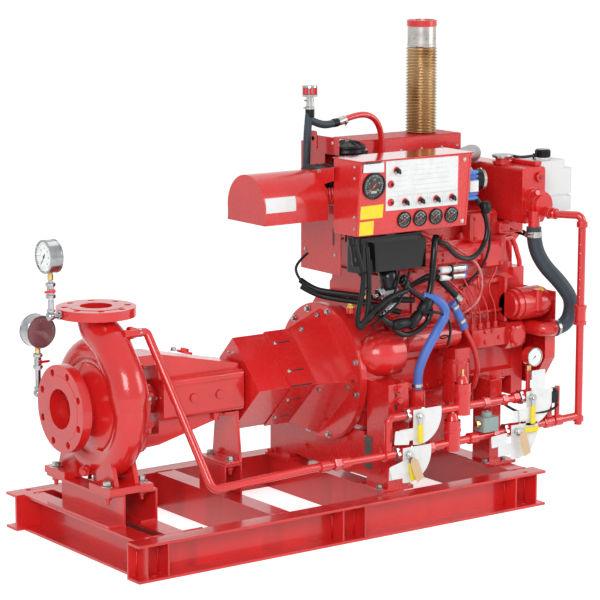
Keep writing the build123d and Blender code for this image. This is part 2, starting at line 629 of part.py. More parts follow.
def hood_outline(gap):
    """Arched roof on short straight sides, open below, drawn gap inside the sheet's outer face."""
    y0 = HOOD_Y[0] + gap
    y1 = HOOD_Y[1] - gap
    roof = ThreePointArc((y0, HOOD_SIDE_Z), ((y0 + y1) / 2, HOOD_TOP_Z - gap), (y1, HOOD_SIDE_Z))
    sides = Polyline((y1, HOOD_SIDE_Z), (y1, HOOD_LOW_Z - gap), (y0, HOOD_LOW_Z - gap), (y0, HOOD_SIDE_Z))
    return make_face(roof + sides)


def intake_hood():
    """Folded sheet hood over the air cleaner's inlet, closed at its outer end and open below."""
    length = HOOD_X[1] - HOOD_X[0]
    outer = Pos(HOOD_X[0], 0, 0) * extrude(Plane.YZ * hood_outline(0), length)
    inner = Pos(HOOD_X[0] + HOOD_SHEET, 0, 0) * extrude(Plane.YZ * hood_outline(HOOD_SHEET), length)
    return outer - inner


def air_cleaner():
    body = disc_x(84, 330, 72, y=-46, z=1110)
    body += disc_z(1110, 1215, 60, 285, 0)
    body += disc_x(0, 84, 52, y=-46, z=1100)
    body += block(190, 220, -60, -30, 1030.3, 1045)
    return body


def breather_pipe():
    hose = disc_z(HEAD_TOP_Z + 100, 1330, 12, 154, 60) + disc_z(1330, 1395, 9, 154, 60)
    hose += disc_z(1395, 1427, 18, 154, 60)
    branch = bent_tube([(154, 60, 1310), (230, 60, 1295), (330, 60, 1312), (415, 60, 1318), (452, 60, 1250),
                        (452, 60, ROCKER_TOP_Z + 0.3)], 9, [60, 60, 60, 55])
    return hose + branch


def control_panel():
    """Closed sheet box whose front leans out at the top, on a shelf that stands on the cylinder head."""
    side = Polyline((-165, 972), (-285, 972), (-310, 1216), (-165, 1216), close=True)
    body = Pos(95, 0, 0) * extrude(Plane.YZ * make_face(side), 461)
    body += block(130, 520, -255, -120, 964, 972)
    return body + block(380, 420, -150, -112, HEAD_TOP_Z + 0.3, 964)


def ecm_box():
    """Two-tier box hung under the panel's shelf: a back plate and a cover with one long chamfer."""
    body = rounded_block(150, 410, -238, -160, 838, 956, 10)
    plan = Polyline((176, -236), (190, -262), (200, -270), (396, -270), (404, -262), (404, -236), close=True)
    cover = Pos(0, 0, 845) * extrude(make_face(plan), 97)
    return body + cover + block(260, 300, -230, -190, 956, 963.7)


def heat_exchanger():
    """Coolant tank across the front of the engine, with end cap, filler cap and lower neck."""
    body = block(872, 975, -200, 240, 937, 1130)
    body = fillet(body.edges().filter_by(Axis.Y), 14)
    for y0, y1, r in ((-213, -200, 55), (-240, -213, 46), (-250, -240, 37)):
        body += disc_y(y0, y1, r, 929, 1003)
    body += disc_y(-206, -200, 13, 948, 1094)
    body += disc_z(1130, 1142, 34, 900, -60)
    body += disc_z(1142, 1150, 24, 900, -60)
    body += disc_z(930, 985, 20, 897, -235)
    body += block(975, 984.7, -90, 20, 1000, 1060)
    seat = DECK_Z - 19.7
    bracket = Polyline((885, seat), (925, seat), (925, 846), (972, 893), (972, 938), (885, 938), close=True)
    return body + Pos(0, 150, 0) * extrude(Plane.XZ * make_face(bracket), 240)


def coolant_bottle():
    """Moulded bottle: a broad body waisted near its bottom, a narrower top and a neck for the cap."""
    body = rounded_block(985, 1172, -130, 60, 955, 1006, 24) + rounded_block(985, 1162, -124, 54, 1006, 1014, 20)
    body += rounded_block(985, 1172, -130, 60, 1014, 1104, 24) + rounded_block(985, 1141, -126, 56, 1104, 1134, 20)
    return body + disc_z(1134, 1165, 24, 1085, -60)


def coolant_hose():
    return cord([(897, -235, 929.7), (897, -235, 870), (918, -262, 800), (975, -292, 735), (1025, -300, 665),
                 (1008, -286, 578), (950, -286, 578)], 25)


# Cooling loop
def low_z(x):
    """Height of the lower line, which climbs a little towards the riser."""
    return LOOP_LOW_Z + max(0.0, x - LOOP_LEVEL_X) * LOOP_RISE


def ball_valve(x, z):
    body = hex_x(x - 34, x + 34, 42, LOOP_Y, z)
    body += disc_y(LOOP_Y - 34, LOOP_Y, 9, x, z)
    return body - disc_y(LOOP_Y - 40, LOOP_Y - 22, STEM_R + STEM_CLEARANCE, x, z)


def coupling_x(x, z):
    return disc_x(x - 16, x + 16, 19, y=LOOP_Y, z=z)


def loop_lower():
    """Lower line with its unions, two valves, pressure regulator and the tee to the riser."""
    body = rod((-98, LOOP_Y, LOOP_LOW_Z), (LOOP_LEVEL_X, LOOP_Y, LOOP_LOW_Z), LOOP_PIPE_R)
    body += rod((LOOP_LEVEL_X - 1, LOOP_Y, LOOP_LOW_Z), (RISER_X - 0.5, LOOP_Y, low_z(RISER_X)), LOOP_PIPE_R)
    for x in (-98, -17, 161, 516, 752, 850, 890):
        body += coupling_x(x, low_z(x))
    for x in (VALVE_LOW_LEFT_X, VALVE_LOW_RIGHT_X):
        body += ball_valve(x, low_z(x))
    body += disc_z(low_z(430) - 26, low_z(430) + 76, 27, 430, LOOP_Y)
    body += disc_z(LOOP_LOW_Z, 360, LOOP_PIPE_R, 161, LOOP_Y)
    return body + disc_z(low_z(890), 400, 9, 890, LOOP_Y)


def loop_upper():
    """Upper line from the left elbow to the drop behind the right plate, with a small gauge."""
    z = LOOP_HIGH_Z
    body = bent_tube([(161, LOOP_Y, 360), (161, LOOP_Y, z), (220, LOOP_Y, z)], LOOP_PIPE_R, [18])
    body += disc_x(215, 850, LOOP_PIPE_R, y=LOOP_Y, z=z)
    for x in (VALVE_HIGH_LEFT_X, VALVE_HIGH_RIGHT_X):
        body += ball_valve(x, z)
    body += disc_z(z - 26, z + 80, 27, 471, LOOP_Y)
    body += disc_z(low_z(850) + 19.3, z, LOOP_PIPE_R, 850, LOOP_Y)
    body += disc_z(z, 490, 8, 757, LOOP_Y)
    return body + disc_y(LOOP_Y - 18, LOOP_Y + 12, 31, 768, 518)


def loop_riser():
    x = RISER_X + LOOP_PIPE_R
    top = RISER_TOP_Z + 10
    body = disc_z(low_z(x) - 30, top - 39, LOOP_PIPE_R, x, LOOP_Y)
    body += disc_z(610, 665, 19, x, LOOP_Y)
    body += bent_tube([(x, LOOP_Y, top - 40), (x, LOOP_Y, top), (940, -300, top), (940, -250, top)], LOOP_PIPE_R, [22, 30])
    return body


def solenoid_valve():
    return block(545, 610, LOOP_Y - 25, LOOP_Y + 25, low_z(610) + LOOP_PIPE_R + 0.2, 335)


def valve_plates():
    """White position plate on each valve's stem boss: a quadrant with a tag below."""
    plates = []
    for x, z in VALVES:
        y0, y1 = LOOP_Y - 26.3, LOOP_Y - 25.3
        plate = disc_y(y0, y1, PLATE_R, x, z) & block(x - 22, x + PLATE_R, y0, y1, z - PLATE_R, z + 22)
        plate += block(x - 78, x - 20, y0, y1, z - 78, z - 38)
        plates.append(plate - disc_y(y0 - 1, y1 + 1, 9.3, x, z))
    return Compound(children=plates)


LEVER_L = 88.0
PLATE_R = 96.0
VALVES = ((VALVE_LOW_LEFT_X, low_z(VALVE_LOW_LEFT_X)), (VALVE_HIGH_LEFT_X, LOOP_HIGH_Z),
          (VALVE_LOW_RIGHT_X, low_z(VALVE_LOW_RIGHT_X)), (VALVE_HIGH_RIGHT_X, LOOP_HIGH_Z))


def valve_lever(x, z, angle):
    """Yellow lever on the valve's stem: angle 0 points down, 90 points to +X."""
    y0 = LOOP_Y - 34 - FACE_CLEARANCE
    lever = disc_y(y0 - 4, y0, 13, x, z) + disc_y(y0 - 12, y0 + 10, STEM_R, x, z)
    lever += block(x - 8, x + 8, y0 - 4, y0, z - LEVER_L, z)
    return lever.rotate(Axis((x, 0, z), (0, -1, 0)), angle)


def raw_water_strainer():
    return disc_z(240, 440, 27, 342, -300) + block(342, 360, -300, -BLOCK_HALF_W - 0.3, 420, 440)


def pump_line():
    return bent_tube([(PUMP_TAP_X, PUMP_TAP_Y, 716), (-605, -130, 716), (-525, LOOP_Y, 246), (-150, LOOP_Y, LOOP_LOW_Z),
                      (-114.1, LOOP_Y, LOOP_LOW_Z)], LOOP_PIPE_R, [14, 25, 200])


GAUGE_R = 52.0


def gauge_discharge():
    z = SHAFT_Z + DISCHARGE_RISE - 17
    x = DISCHARGE_X - DISCHARGE_FLANGE_R
    body = bent_tube([(x, 0, z), (-872, 0, z), (-872, 0, 830)], 9, [12])
    body += disc_z(830, 880, 12, -872, 0) + disc_z(880, 915, 7, -872, 0)
    body += disc_x(-890, -854, GAUGE_R, y=0, z=962)
    body += disc_y(-17, 0, 6, -872, 855)
    return body - disc_y(-20, -8, 2.55, -872, 855) - disc_z(z - 20, z + 20, DISCHARGE_FLANGE_R, DISCHARGE_X, 0)


def gauge_suction():
    x, y, z = -829.0, 162.0, SHAFT_Z + 20
    body = bent_tube([(x, 132, z), (x, y, z), (x, y, 575)], 9, [10])
    body += disc_z(575, 625, 12, x, y) + disc_z(625, 650, 7, x, y)
    body += disc_y(y - 20, y + 20, GAUGE_R, x, 698)
    body += disc_y(y - 17, y, 6, x, 600)
    return body - disc_y(y - 20, y - 8, 2.55, x, 600) - disc_x(x - 20, x + 20, SUCTION_FLANGE_R)


def cock_lever(x, y, z, side):
    y0 = y - 17 - FACE_CLEARANCE
    return disc_y(y0 - 3, y0 + 8, 2.5, x, z) + disc_y(y0 - 3, y0, 7, x, z) + block(x, x + side * 32, y0 - 3, y0, z - 4, z + 4)


def blue_hoses():
    return cord([(342, -300, 440.3), (342, -300, 490), (375, -315, 560), (425, -315, 630), (430, -290, 690),
                 (400, -262, 740)], 17)


def wiring_harness():
    return cord([(150, -295, 972), (146, -296, 880), (142, -290, 780), (165, -285, 700), (220, -285, 660),
                 (290, -285, 680), (350, -285, 750), (385, -290, 840), (400, -296, 940)], 10)


PARTS = {
    "rail_near": side_rail(-1),
    "rail_far": side_rail(1),
    "cross_beams": cross_beams(),
    "pump_pedestals": pump_pedestals(),
    "pump_casing": pump_casing(),
    "suction_flange": suction_flange(),
    "discharge_flange": discharge_flange(),
    "impeller": impeller(),
    "casing_cover": casing_cover(),
    "bearing_bracket": bearing_bracket(),
    "bearing_foot": bearing_foot(),
    "guard_front": guard_front(),
    "guard_rear": guard_rear(),
    "drive_coupling": drive_coupling(),
    "flywheel_housing": flywheel_housing(),
    "engine_feet_rear": engine_feet_rear(),
    "engine_feet_front": engine_feet_front(),
    "engine_block": engine_block(),
    "oil_pan": oil_pan(),
    "cylinder_head": cylinder_head(),
    "rocker_cover": rocker_cover(),
    "belt_guard": belt_guard(),
    "belt_drive": belt_drive(),
    "alternator": alternator(),
    "bypass_pipe": bypass_pipe(),
    "starter_motor": starter_motor(),
    "oil_filter": oil_filter(),
    "injection_pump": injection_pump(),
    "exhaust_manifold": exhaust_manifold(),
    "heat_shield": heat_shield(),
    "exhaust_flex": exhaust_flex(),
    "intake_hood": intake_hood(),
    "air_cleaner": air_cleaner(),
    "breather_pipe": breather_pipe(),
    "control_panel": control_panel(),
    "ecm_box": ecm_box(),
    "heat_exchanger": heat_exchanger(),
    "coolant_bottle": coolant_bottle(),
    "coolant_hose": coolant_hose(),
    "loop_lower": loop_lower(),
    "loop_upper": loop_upper(),
    "loop_riser": loop_riser(),
    "solenoid_valve": solenoid_valve(),
    "valve_plates": valve_plates(),
    "lever_low_left": valve_lever(*VALVES[0], 9),
    "lever_high_left": valve_lever(*VALVES[1], 0),
    "lever_low_right": valve_lever(*VALVES[2], 90),
    "lever_high_right": valve_lever(*VALVES[3], 0),
    "raw_water_strainer": raw_water_strainer(),
    "pump_line": pump_line(),
    "gauge_discharge": gauge_discharge(),
    "gauge_suction": gauge_suction(),
    "cock_lever_discharge": cock_lever(-872, 0, 855, -1),
    "cock_lever_suction": cock_lever(-829, 162, 600, 1),
    "blue_hoses": blue_hoses(),
    "wiring_harness": wiring_harness(),
}

if __name__ == "__main__":
    os.makedirs("parts", exist_ok=True)
    for name, shape in PARTS.items():
        export_step(shape, f"parts/{name}.step")
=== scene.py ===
"""Looks of a red diesel fire pump: the finish of every carried-over piece, and the bolts, gauges,
panel face, cables, hoses, tags and bellows that stand on them. Sizes are in millimetres of the
frame unless a name says otherwise, and meshes are written in metres."""
import bpy
import json
from math import cos, pi, radians, sin
from mathutils import Matrix, Vector


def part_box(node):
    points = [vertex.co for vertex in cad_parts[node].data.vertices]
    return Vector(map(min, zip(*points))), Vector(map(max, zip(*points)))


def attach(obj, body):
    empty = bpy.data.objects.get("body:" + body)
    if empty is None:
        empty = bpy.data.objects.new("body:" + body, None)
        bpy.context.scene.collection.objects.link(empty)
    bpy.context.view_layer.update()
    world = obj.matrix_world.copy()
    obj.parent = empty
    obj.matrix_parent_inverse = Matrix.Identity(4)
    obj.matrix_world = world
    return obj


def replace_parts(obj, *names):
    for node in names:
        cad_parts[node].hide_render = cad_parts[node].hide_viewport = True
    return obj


bl_info = {
    "name": "Diesel fire pump looks",
    "version": (1, 0, 0),
    "blender": (4, 5, 0),
    "location": "3D View > Sidebar > Fire pump",
    "description": "Finishes and small parts of a skid-mounted diesel fire pump",
    "category": "Object",
}

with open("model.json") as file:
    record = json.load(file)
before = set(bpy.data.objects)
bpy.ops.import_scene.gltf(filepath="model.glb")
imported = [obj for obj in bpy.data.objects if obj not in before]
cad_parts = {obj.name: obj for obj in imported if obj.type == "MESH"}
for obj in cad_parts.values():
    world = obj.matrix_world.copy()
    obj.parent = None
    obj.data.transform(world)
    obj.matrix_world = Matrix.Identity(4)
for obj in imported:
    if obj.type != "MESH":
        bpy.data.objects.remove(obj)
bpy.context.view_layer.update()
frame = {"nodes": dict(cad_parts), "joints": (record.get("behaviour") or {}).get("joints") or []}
NODES = frame["nodes"]
MM = 0.001
SET = "pump_set"
SHAFT_Z = 475.6
X, Y, Z = Vector((1, 0, 0)), Vector((0, 1, 0)), Vector((0, 0, 1))


# Settings that a user would change
def number(label, description, default, low=0.0):
    return bpy.props.FloatProperty(name=label, description=description, default=default, min=low)


def colour(label, description, default):
    return bpy.props.FloatVectorProperty(name=label, description=description, default=default, size=4,
                                         min=0.0, max=1.0, subtype="COLOR")


class PaintSettings(bpy.types.PropertyGroup):
    """Colours of the finishes."""
    red: colour("Pump red", "Gloss enamel over the whole set", (0.7, 0.018, 0.018, 1))
    yellow: colour("Label yellow", "Vinyl sleeves and labels", (0.9, 0.72, 0.02, 1))
    blue: colour("Hose blue", "Reinforced coolant hose", (0.075, 0.16, 0.52, 1))
    black: colour("Black", "Plastic housings and cable jackets", (0.012, 0.013, 0.015, 1))
    white: colour("White", "Plates, tags and the coolant bottle", (0.84, 0.86, 0.86, 1))
    tan: colour("Card tan", "Card tags tied to the valves", (0.72, 0.5, 0.3, 1))


class SizeSettings(bpy.types.PropertyGroup):
    """Sizes of the small parts, in millimetres."""
    foot_bolt: number("Foot bolt", "Across flats of the pump's foot bolts", 24.0, 5.0)
    guard_bolt: number("Guard bolt", "Across flats of the guard disc's bolts", 15.0, 5.0)
    cable: number("Cable", "Radius of the wrapped cable bundles", 9.0, 1.0)
    sleeve_length: number("Sleeve length", "Vinyl sleeve on each valve lever", 62.0, 5.0)


class StageSettings(bpy.types.PropertyGroup):
    """Camera and lights."""
    lens: number("Lens", "Focal length on a 36 mm sensor", 150.43, 10.0)
    key: number("Key light", "Power of the large front light", 315.0)
    fill: number("Fill light", "Power of the side light", 120.0)
    sky: number("Sky", "Strength of the even surrounding light", 0.4)


# Shader values
class Value:
    """A shader socket that takes part in sums and products: each operator adds its Math node."""

    def __init__(self, tree, socket):
        self.tree = tree
        self.socket = socket

    def math(self, operation, *others, swap=False):
        node = self.tree.nodes.new("ShaderNodeMath")
        node.operation = operation
        terms = [self, *others]
        if swap:
            terms.reverse()
        for place, term in zip(node.inputs, terms):
            if isinstance(term, Value):
                self.tree.links.new(term.socket, place)
            else:
                place.default_value = term
        return Value(self.tree, node.outputs[0])

    def __add__(self, other):
        return self.math("ADD", other)

    def __sub__(self, other):
        return self.math("SUBTRACT", other)

    def __rsub__(self, other):
        return self.math("SUBTRACT", other, swap=True)

    def __mul__(self, other):
        return self.math("MULTIPLY", other)

    def wave(self):
        return self.math("SINE")

    def size(self):
        return self.math("ABSOLUTE")

    def step(self, low, high):
        """0 below low, 1 above high and smooth between."""
        node = self.tree.nodes.new("ShaderNodeMapRange")
        node.interpolation_type = "SMOOTHSTEP"
        self.tree.links.new(self.socket, node.inputs["Value"])
        node.inputs["From Min"].default_value = low
        node.inputs["From Max"].default_value = high
        return Value(self.tree, node.outputs["Result"])


class Finish:
    """One material being put together around a Principled shader."""

    def __init__(self, name, **settings):
        self.material = bpy.data.materials.new(name)
        self.material.use_nodes = True
        self.tree = self.material.node_tree
        self.shader = self.tree.nodes["Principled BSDF"]
        for socket, value in settings.items():
            self.shader.inputs[socket.replace("_", " ")].default_value = value
        self.place = self.add("ShaderNodeTexCoord").outputs["Object"]

    def add(self, kind, settings=None, **sockets):
        """A node of any kind: its settings first, then the values or links of its sockets."""
        node = self.tree.nodes.new(kind)
        for name, value in (settings or {}).items():
            setattr(node, name, value)
        for name, value in sockets.items():
            self.feed(node.inputs[name.replace("_", " ")], value)
        return node

    def feed(self, socket, value):
        if isinstance(value, Value):
            value = value.socket
        if isinstance(value, bpy.types.NodeSocket):
            self.tree.links.new(value, socket)
        else:
            socket.default_value = value

    def set(self, name, value):
        self.feed(self.shader.inputs[name], value)

    def noise(self, scale, detail=3.0, stretch=(1, 1, 1)):
        """Cloudy values from 0 to 1, scale features to a metre, stretched along the axes."""
        mapping = self.add("ShaderNodeMapping", Vector=self.place, Scale=stretch)
        node = self.add("ShaderNodeTexNoise", Vector=mapping.outputs[0], Scale=scale, Detail=detail)
        return Value(self.tree, node.outputs[0])

    def axis(self, name):
        """The X, Y or Z place of each point, in metres."""
        split = self.add("ShaderNodeSeparateXYZ", Vector=self.place)
        return Value(self.tree, split.outputs[name])

    def mix(self, factor, a, b):
        node = self.add("ShaderNodeMix", {"data_type": "RGBA"})
        self.feed(node.inputs[0], factor)
        self.feed(node.inputs[6], a)
        self.feed(node.inputs[7], b)
        return node.outputs[2]

    def bump(self, height, depth_mm, strength=1.0):
        node = self.add("ShaderNodeBump", Height=height, Distance=depth_mm * MM, Strength=strength)
        self.set("Normal", node.outputs[0])


FINISHES = {}


def shade(rgb, factor):
    """The colour made lighter or darker."""
    return (rgb[0] * factor, rgb[1] * factor, rgb[2] * factor, 1)


def enamel(name, rgb, cast=0.0, streaks=0.0, rough=0.2, coat=0.55):
    """Gloss enamel: cloudy lightness, orange peel, dust and, where asked, dirt runs and a cast skin."""
    paint = Finish(name, Coat_Roughness=0.08, Specular_IOR_Level=0.4)
    cloud = paint.noise(4.0)
    fine = paint.noise(70.0, 4.0)
    tone = cloud.step(0.3, 0.7)
    base = paint.mix(tone, shade(rgb, 0.9), shade(rgb, 1.06))
    dust = paint.noise(28.0, 5.0).step(0.66, 0.8) * 0.22
    if streaks:
        runs = paint.noise(9.0, 4.0, (1, 1, 0.22)).step(0.52, 0.72) * streaks
        base = paint.mix(runs, base, shade(rgb, 0.45))
    base = paint.mix(dust, base, (rgb[0] * 0.95, rgb[1] + 0.07, rgb[2] + 0.07, 1))
    paint.set("Base Color", base)
    paint.set("Roughness", fine * 0.14 + rough + dust * 0.6)
    paint.set("Coat Weight", coat - dust * 1.4)
    if cast:
        skin = paint.noise(160.0, 5.0) * 0.7 + paint.noise(45.0) * 1.4
        paint.bump(skin, 0.9 * cast, 0.55)
    else:
        paint.bump(paint.noise(95.0, 2.0), 0.25, 0.35)
    return paint.material


def metal(name, rgb, rough=0.28, grain=(1, 1, 1), dull=0.12):
    """Bare or plated metal with fine scratches and dull patches."""
    plate = Finish(name, Metallic=1.0)
    patch = plate.noise(30.0, 4.0)
    plate.set("Base Color", plate.mix(patch.step(0.35, 0.75), shade(rgb, 1.0), shade(rgb, 0.72)))
    plate.set("Roughness", patch * dull + plate.noise(400.0, 2.0, grain) * 0.12 + (rough - 0.1))
    plate.bump(plate.noise(500.0, 2.0, grain), 0.08, 0.4)
    return plate.material


def plastic(name, rgb, rough=0.35, skin=220.0, depth=0.12, tone=0.25, shine=0.45):
    """Moulded plastic or rubber with a faint skin and handling marks."""
    body = Finish(name, Specular_IOR_Level=shine)
    marks = body.noise(22.0, 4.0)
    body.set("Base Color", body.mix(marks.step(0.4, 0.75), shade(rgb, 1.0), shade(rgb, 1.0 + tone)))
    body.set("Roughness", marks * 0.2 + (rough - 0.1))
    body.bump(body.noise(skin, 3.0), depth, 0.5)
    return body.material


def bottle_plastic(rgb):
    """Milky bottle plastic that lets light through."""
    body = Finish("bottle_milk", Transmission_Weight=0.12)
    low = body.axis("Z").step(0.955, 1.02)
    base = body.mix(low, (rgb[0] * 0.86, rgb[1] * 0.88, rgb[2] * 0.9, 1), (rgb[0], rgb[1], rgb[2], 1))
    body.set("Base Color", base)
    body.set("Roughness", body.noise(30.0) * 0.15 + 0.25)
    body.bump(body.noise(14.0, 2.0), 0.8, 0.3)
    return body.material


def bellows_steel():
    """Stainless bellows tinted bronze by heat, paler towards the top."""
    skin = Finish("bellows_heat_tint", Metallic=1.0)
    height = skin.axis("Z")
    tint = skin.mix(height.step(1.25, 1.52), (0.42, 0.27, 0.13, 1), (0.52, 0.38, 0.22, 1))
    patch = skin.noise(16.0, 4.0).step(0.42, 0.7)
    skin.set("Base Color", skin.mix(patch, tint, (0.34, 0.2, 0.09, 1)))
    skin.set("Roughness", skin.noise(120.0, 3.0) * 0.2 + 0.2)
    skin.bump(skin.noise(240.0), 0.15, 0.3)
    return skin.material


def braid_steel():
    """Woven wire sheath, made of two crossing sets of fine ridges."""
    skin = Finish("braid_wire", Metallic=1.0, Roughness=0.3)
    x, y, z = skin.axis("X"), skin.axis("Y"), skin.axis("Z")
    one = ((x + z) * 2600.0).wave()
    two = ((x - z + y) * 2600.0).wave()
    weave = (one * two) * 0.5 + 0.5
    skin.set("Base Color", skin.mix(weave, (0.3, 0.3, 0.31, 1), (0.75, 0.75, 0.77, 1)))
    skin.bump(weave, 0.5, 0.8)
    return skin.material


def perforated(rgb):
    """Red sheet with rows of small dark holes, for the shield over the exhaust."""
    sheet = Finish("perforated_red", Specular_IOR_Level=0.4)
    pitch = 2 * pi / 0.011
    rows = (sheet.axis("X") * pitch).wave() * (sheet.axis("Z") * pitch).wave()
    hole = rows.step(0.45, 0.6)
    sheet.set("Base Color", sheet.mix(hole, shade(rgb, 0.95), shade(rgb, 0.12)))
    sheet.set("Roughness", sheet.noise(60.0) * 0.2 + 0.3)
    sheet.bump(1 - hole, 0.8, 0.8)
    return sheet.material


def clear_tube():
    """Red-tinted clear tubing."""
    tube = Finish("clear_red_tube", Transmission_Weight=0.25, Coat_Weight=0.6, Coat_Roughness=0.05)
    tube.set("Base Color", tube.mix(tube.noise(40.0).step(0.4, 0.6), (0.7, 0.05, 0.06, 1),
                                    (0.8, 0.2, 0.2, 1)))
    tube.set("Roughness", tube.noise(90.0) * 0.1 + 0.12)
    return tube.material


def printed_card(name, rgb, lines=0.0, rough=0.5):
    """Coated card or vinyl with a slight grain, and faint ruled lines where lines is above 0."""
    card = Finish(name)
    base = card.mix(card.noise(35.0, 4.0).step(0.4, 0.7), shade(rgb, 1.0), shade(rgb, 0.93))
    if lines:
        rule = (card.axis("Z") * (2 * pi / 0.0165)).wave().step(0.93, 1.0)
        breaks = card.noise(55.0, 1.0, (1, 1, 0.01)).step(0.44, 0.5)
        base = card.mix(rule * breaks * lines, base, (0.35, 0.37, 0.4, 1))
    card.set("Base Color", base)
    card.set("Roughness", card.noise(80.0) * 0.15 + (rough - 0.08))
    card.bump(card.noise(300.0), 0.04, 0.3)
    return card.material


def gauge_glass():
    """Thin clear lens."""
    lens = Finish("gauge_glass", Transmission_Weight=1.0, Roughness=0.02, IOR=1.1, Specular_IOR_Level=0.3)
    lens.set("Base Color", lens.mix(lens.noise(20.0).step(0.3, 0.9), (1, 1, 1, 1), (0.95, 0.97, 0.97, 1)))
    return lens.material


def dark_lens_painted_reflection():
    """Dark lens of the suction gauge with a painted reflection: paler to both sides and upwards."""
    lens = Finish("gauge_dark_lens_painted_reflection", Coat_Weight=1.0, Coat_Roughness=0.03)
    # Painted reflection: the lens grows paler away from the gauge's middle, across and upwards
    side = (lens.axis("X") + 0.829).size() * 14.0 + (lens.axis("Z") - 0.698) * 6.0
    lens.set("Base Color", lens.mix(side.step(-0.1, 0.6), (0.16, 0.06, 0.07, 1), (0.24, 0.13, 0.14, 1)))
    lens.set("Roughness", lens.noise(30.0) * 0.08 + 0.08)
    return lens.material


def make_finishes(paint):
    """Every finish, from the colours that the user set."""
    red = tuple(paint.red)
    dark = tuple(paint.black)
    made = {
        "sheet_red": enamel("sheet_red", red),
        "lid_red": enamel("lid_red", red, rough=0.02, coat=1.0),
        "cast_red": enamel("cast_red", red, cast=1.0, rough=0.16),
        "block_red": enamel("block_red", red, cast=0.6, rough=0.24),
        "pipe_red": enamel("pipe_red", red, cast=0.35, rough=0.14),
        "base_red": enamel("base_red", red, streaks=0.4, cast=0.25, rough=0.24),
        # Painted shade: the red darkened for parts that sit in shade
        "painted_shade_red": enamel("painted_shade_red", shade(red, 0.55), cast=0.4, rough=0.4),
        "perforated_red": perforated(red),
        "zinc": metal("zinc", (0.5, 0.5, 0.48)),
        "chrome": metal("chrome", (0.4, 0.41, 0.42), rough=0.18, dull=0.06),
        "stainless": metal("stainless", (0.48, 0.46, 0.43), rough=0.26),
        "brass": metal("brass", (0.7, 0.48, 0.2), rough=0.26),
        "shaft_steel": metal("shaft_steel", (0.35, 0.32, 0.3), rough=0.4),
        "bronze": metal("bronze", (0.55, 0.32, 0.14), rough=0.4),
        "bellows": bellows_steel(),
        "braid": braid_steel(),
        "black_gloss": plastic("black_gloss", shade(dark, 0.5), rough=0.14, depth=0.05, tone=0.5,
                               shine=0.3),
        "black_rubber": plastic("black_rubber", shade(dark, 0.6), rough=0.34, depth=0.2, tone=0.6,
                                shine=0.22),
        "hose_grey": plastic("hose_grey", (0.04, 0.055, 0.07), rough=0.46, skin=420.0, depth=0.25,
                             shine=0.3),
        "hose_blue": plastic("hose_blue", tuple(paint.blue), rough=0.4, skin=420.0, depth=0.3, tone=0.2),
        "cap_blue": plastic("cap_blue", (0.05, 0.3, 0.75), rough=0.3),
        "knob_red": plastic("knob_red", (0.7, 0.02, 0.03), rough=0.3),
        "solenoid_green": plastic("solenoid_green", (0.28, 0.36, 0.34), rough=0.45, tone=0.15),
        "lid_white": plastic("lid_white", tuple(paint.white), rough=0.3, tone=-0.08),
        "bottle": bottle_plastic(tuple(paint.white)),
        "plate_white": printed_card("plate_white", tuple(paint.white), lines=0.5),
        "tag_white": printed_card("tag_white", tuple(paint.white)),
        "dial_white": printed_card("dial_white", (0.86, 0.88, 0.86), rough=0.4),
        "dial_black": printed_card("dial_black", (0.015, 0.015, 0.016), rough=0.3),
        "vinyl_yellow": printed_card("vinyl_yellow", tuple(paint.yellow), rough=0.4),
        "card_tan": printed_card("card_tan", tuple(paint.tan), rough=0.6),
        "needle_red": printed_card("needle_red", (0.8, 0.1, 0.03)),
        "ink": printed_card("ink", (0.02, 0.02, 0.025)),
        "window_dark": plastic("window_dark", (0.09, 0.09, 0.08), rough=0.3, tone=0.4),
        "strap_grey": plastic("strap_grey", (0.4, 0.4, 0.39), rough=0.5),
        "clear_tube": clear_tube(),
        "lens": gauge_glass(),
        # Dark lens with a painted reflection, for the suction gauge's face
        "lens_dark_painted_reflection": dark_lens_painted_reflection(),
    }
    FINISHES.update(made)


# Mesh building
def frame_from(axis):
    """Two directions square to the axis and to each other."""
    axis = axis.normalized()
    helper = Z if abs(axis.z) < 0.9 else X
    u = helper.cross(axis).normalized()
    return u, axis.cross(u)


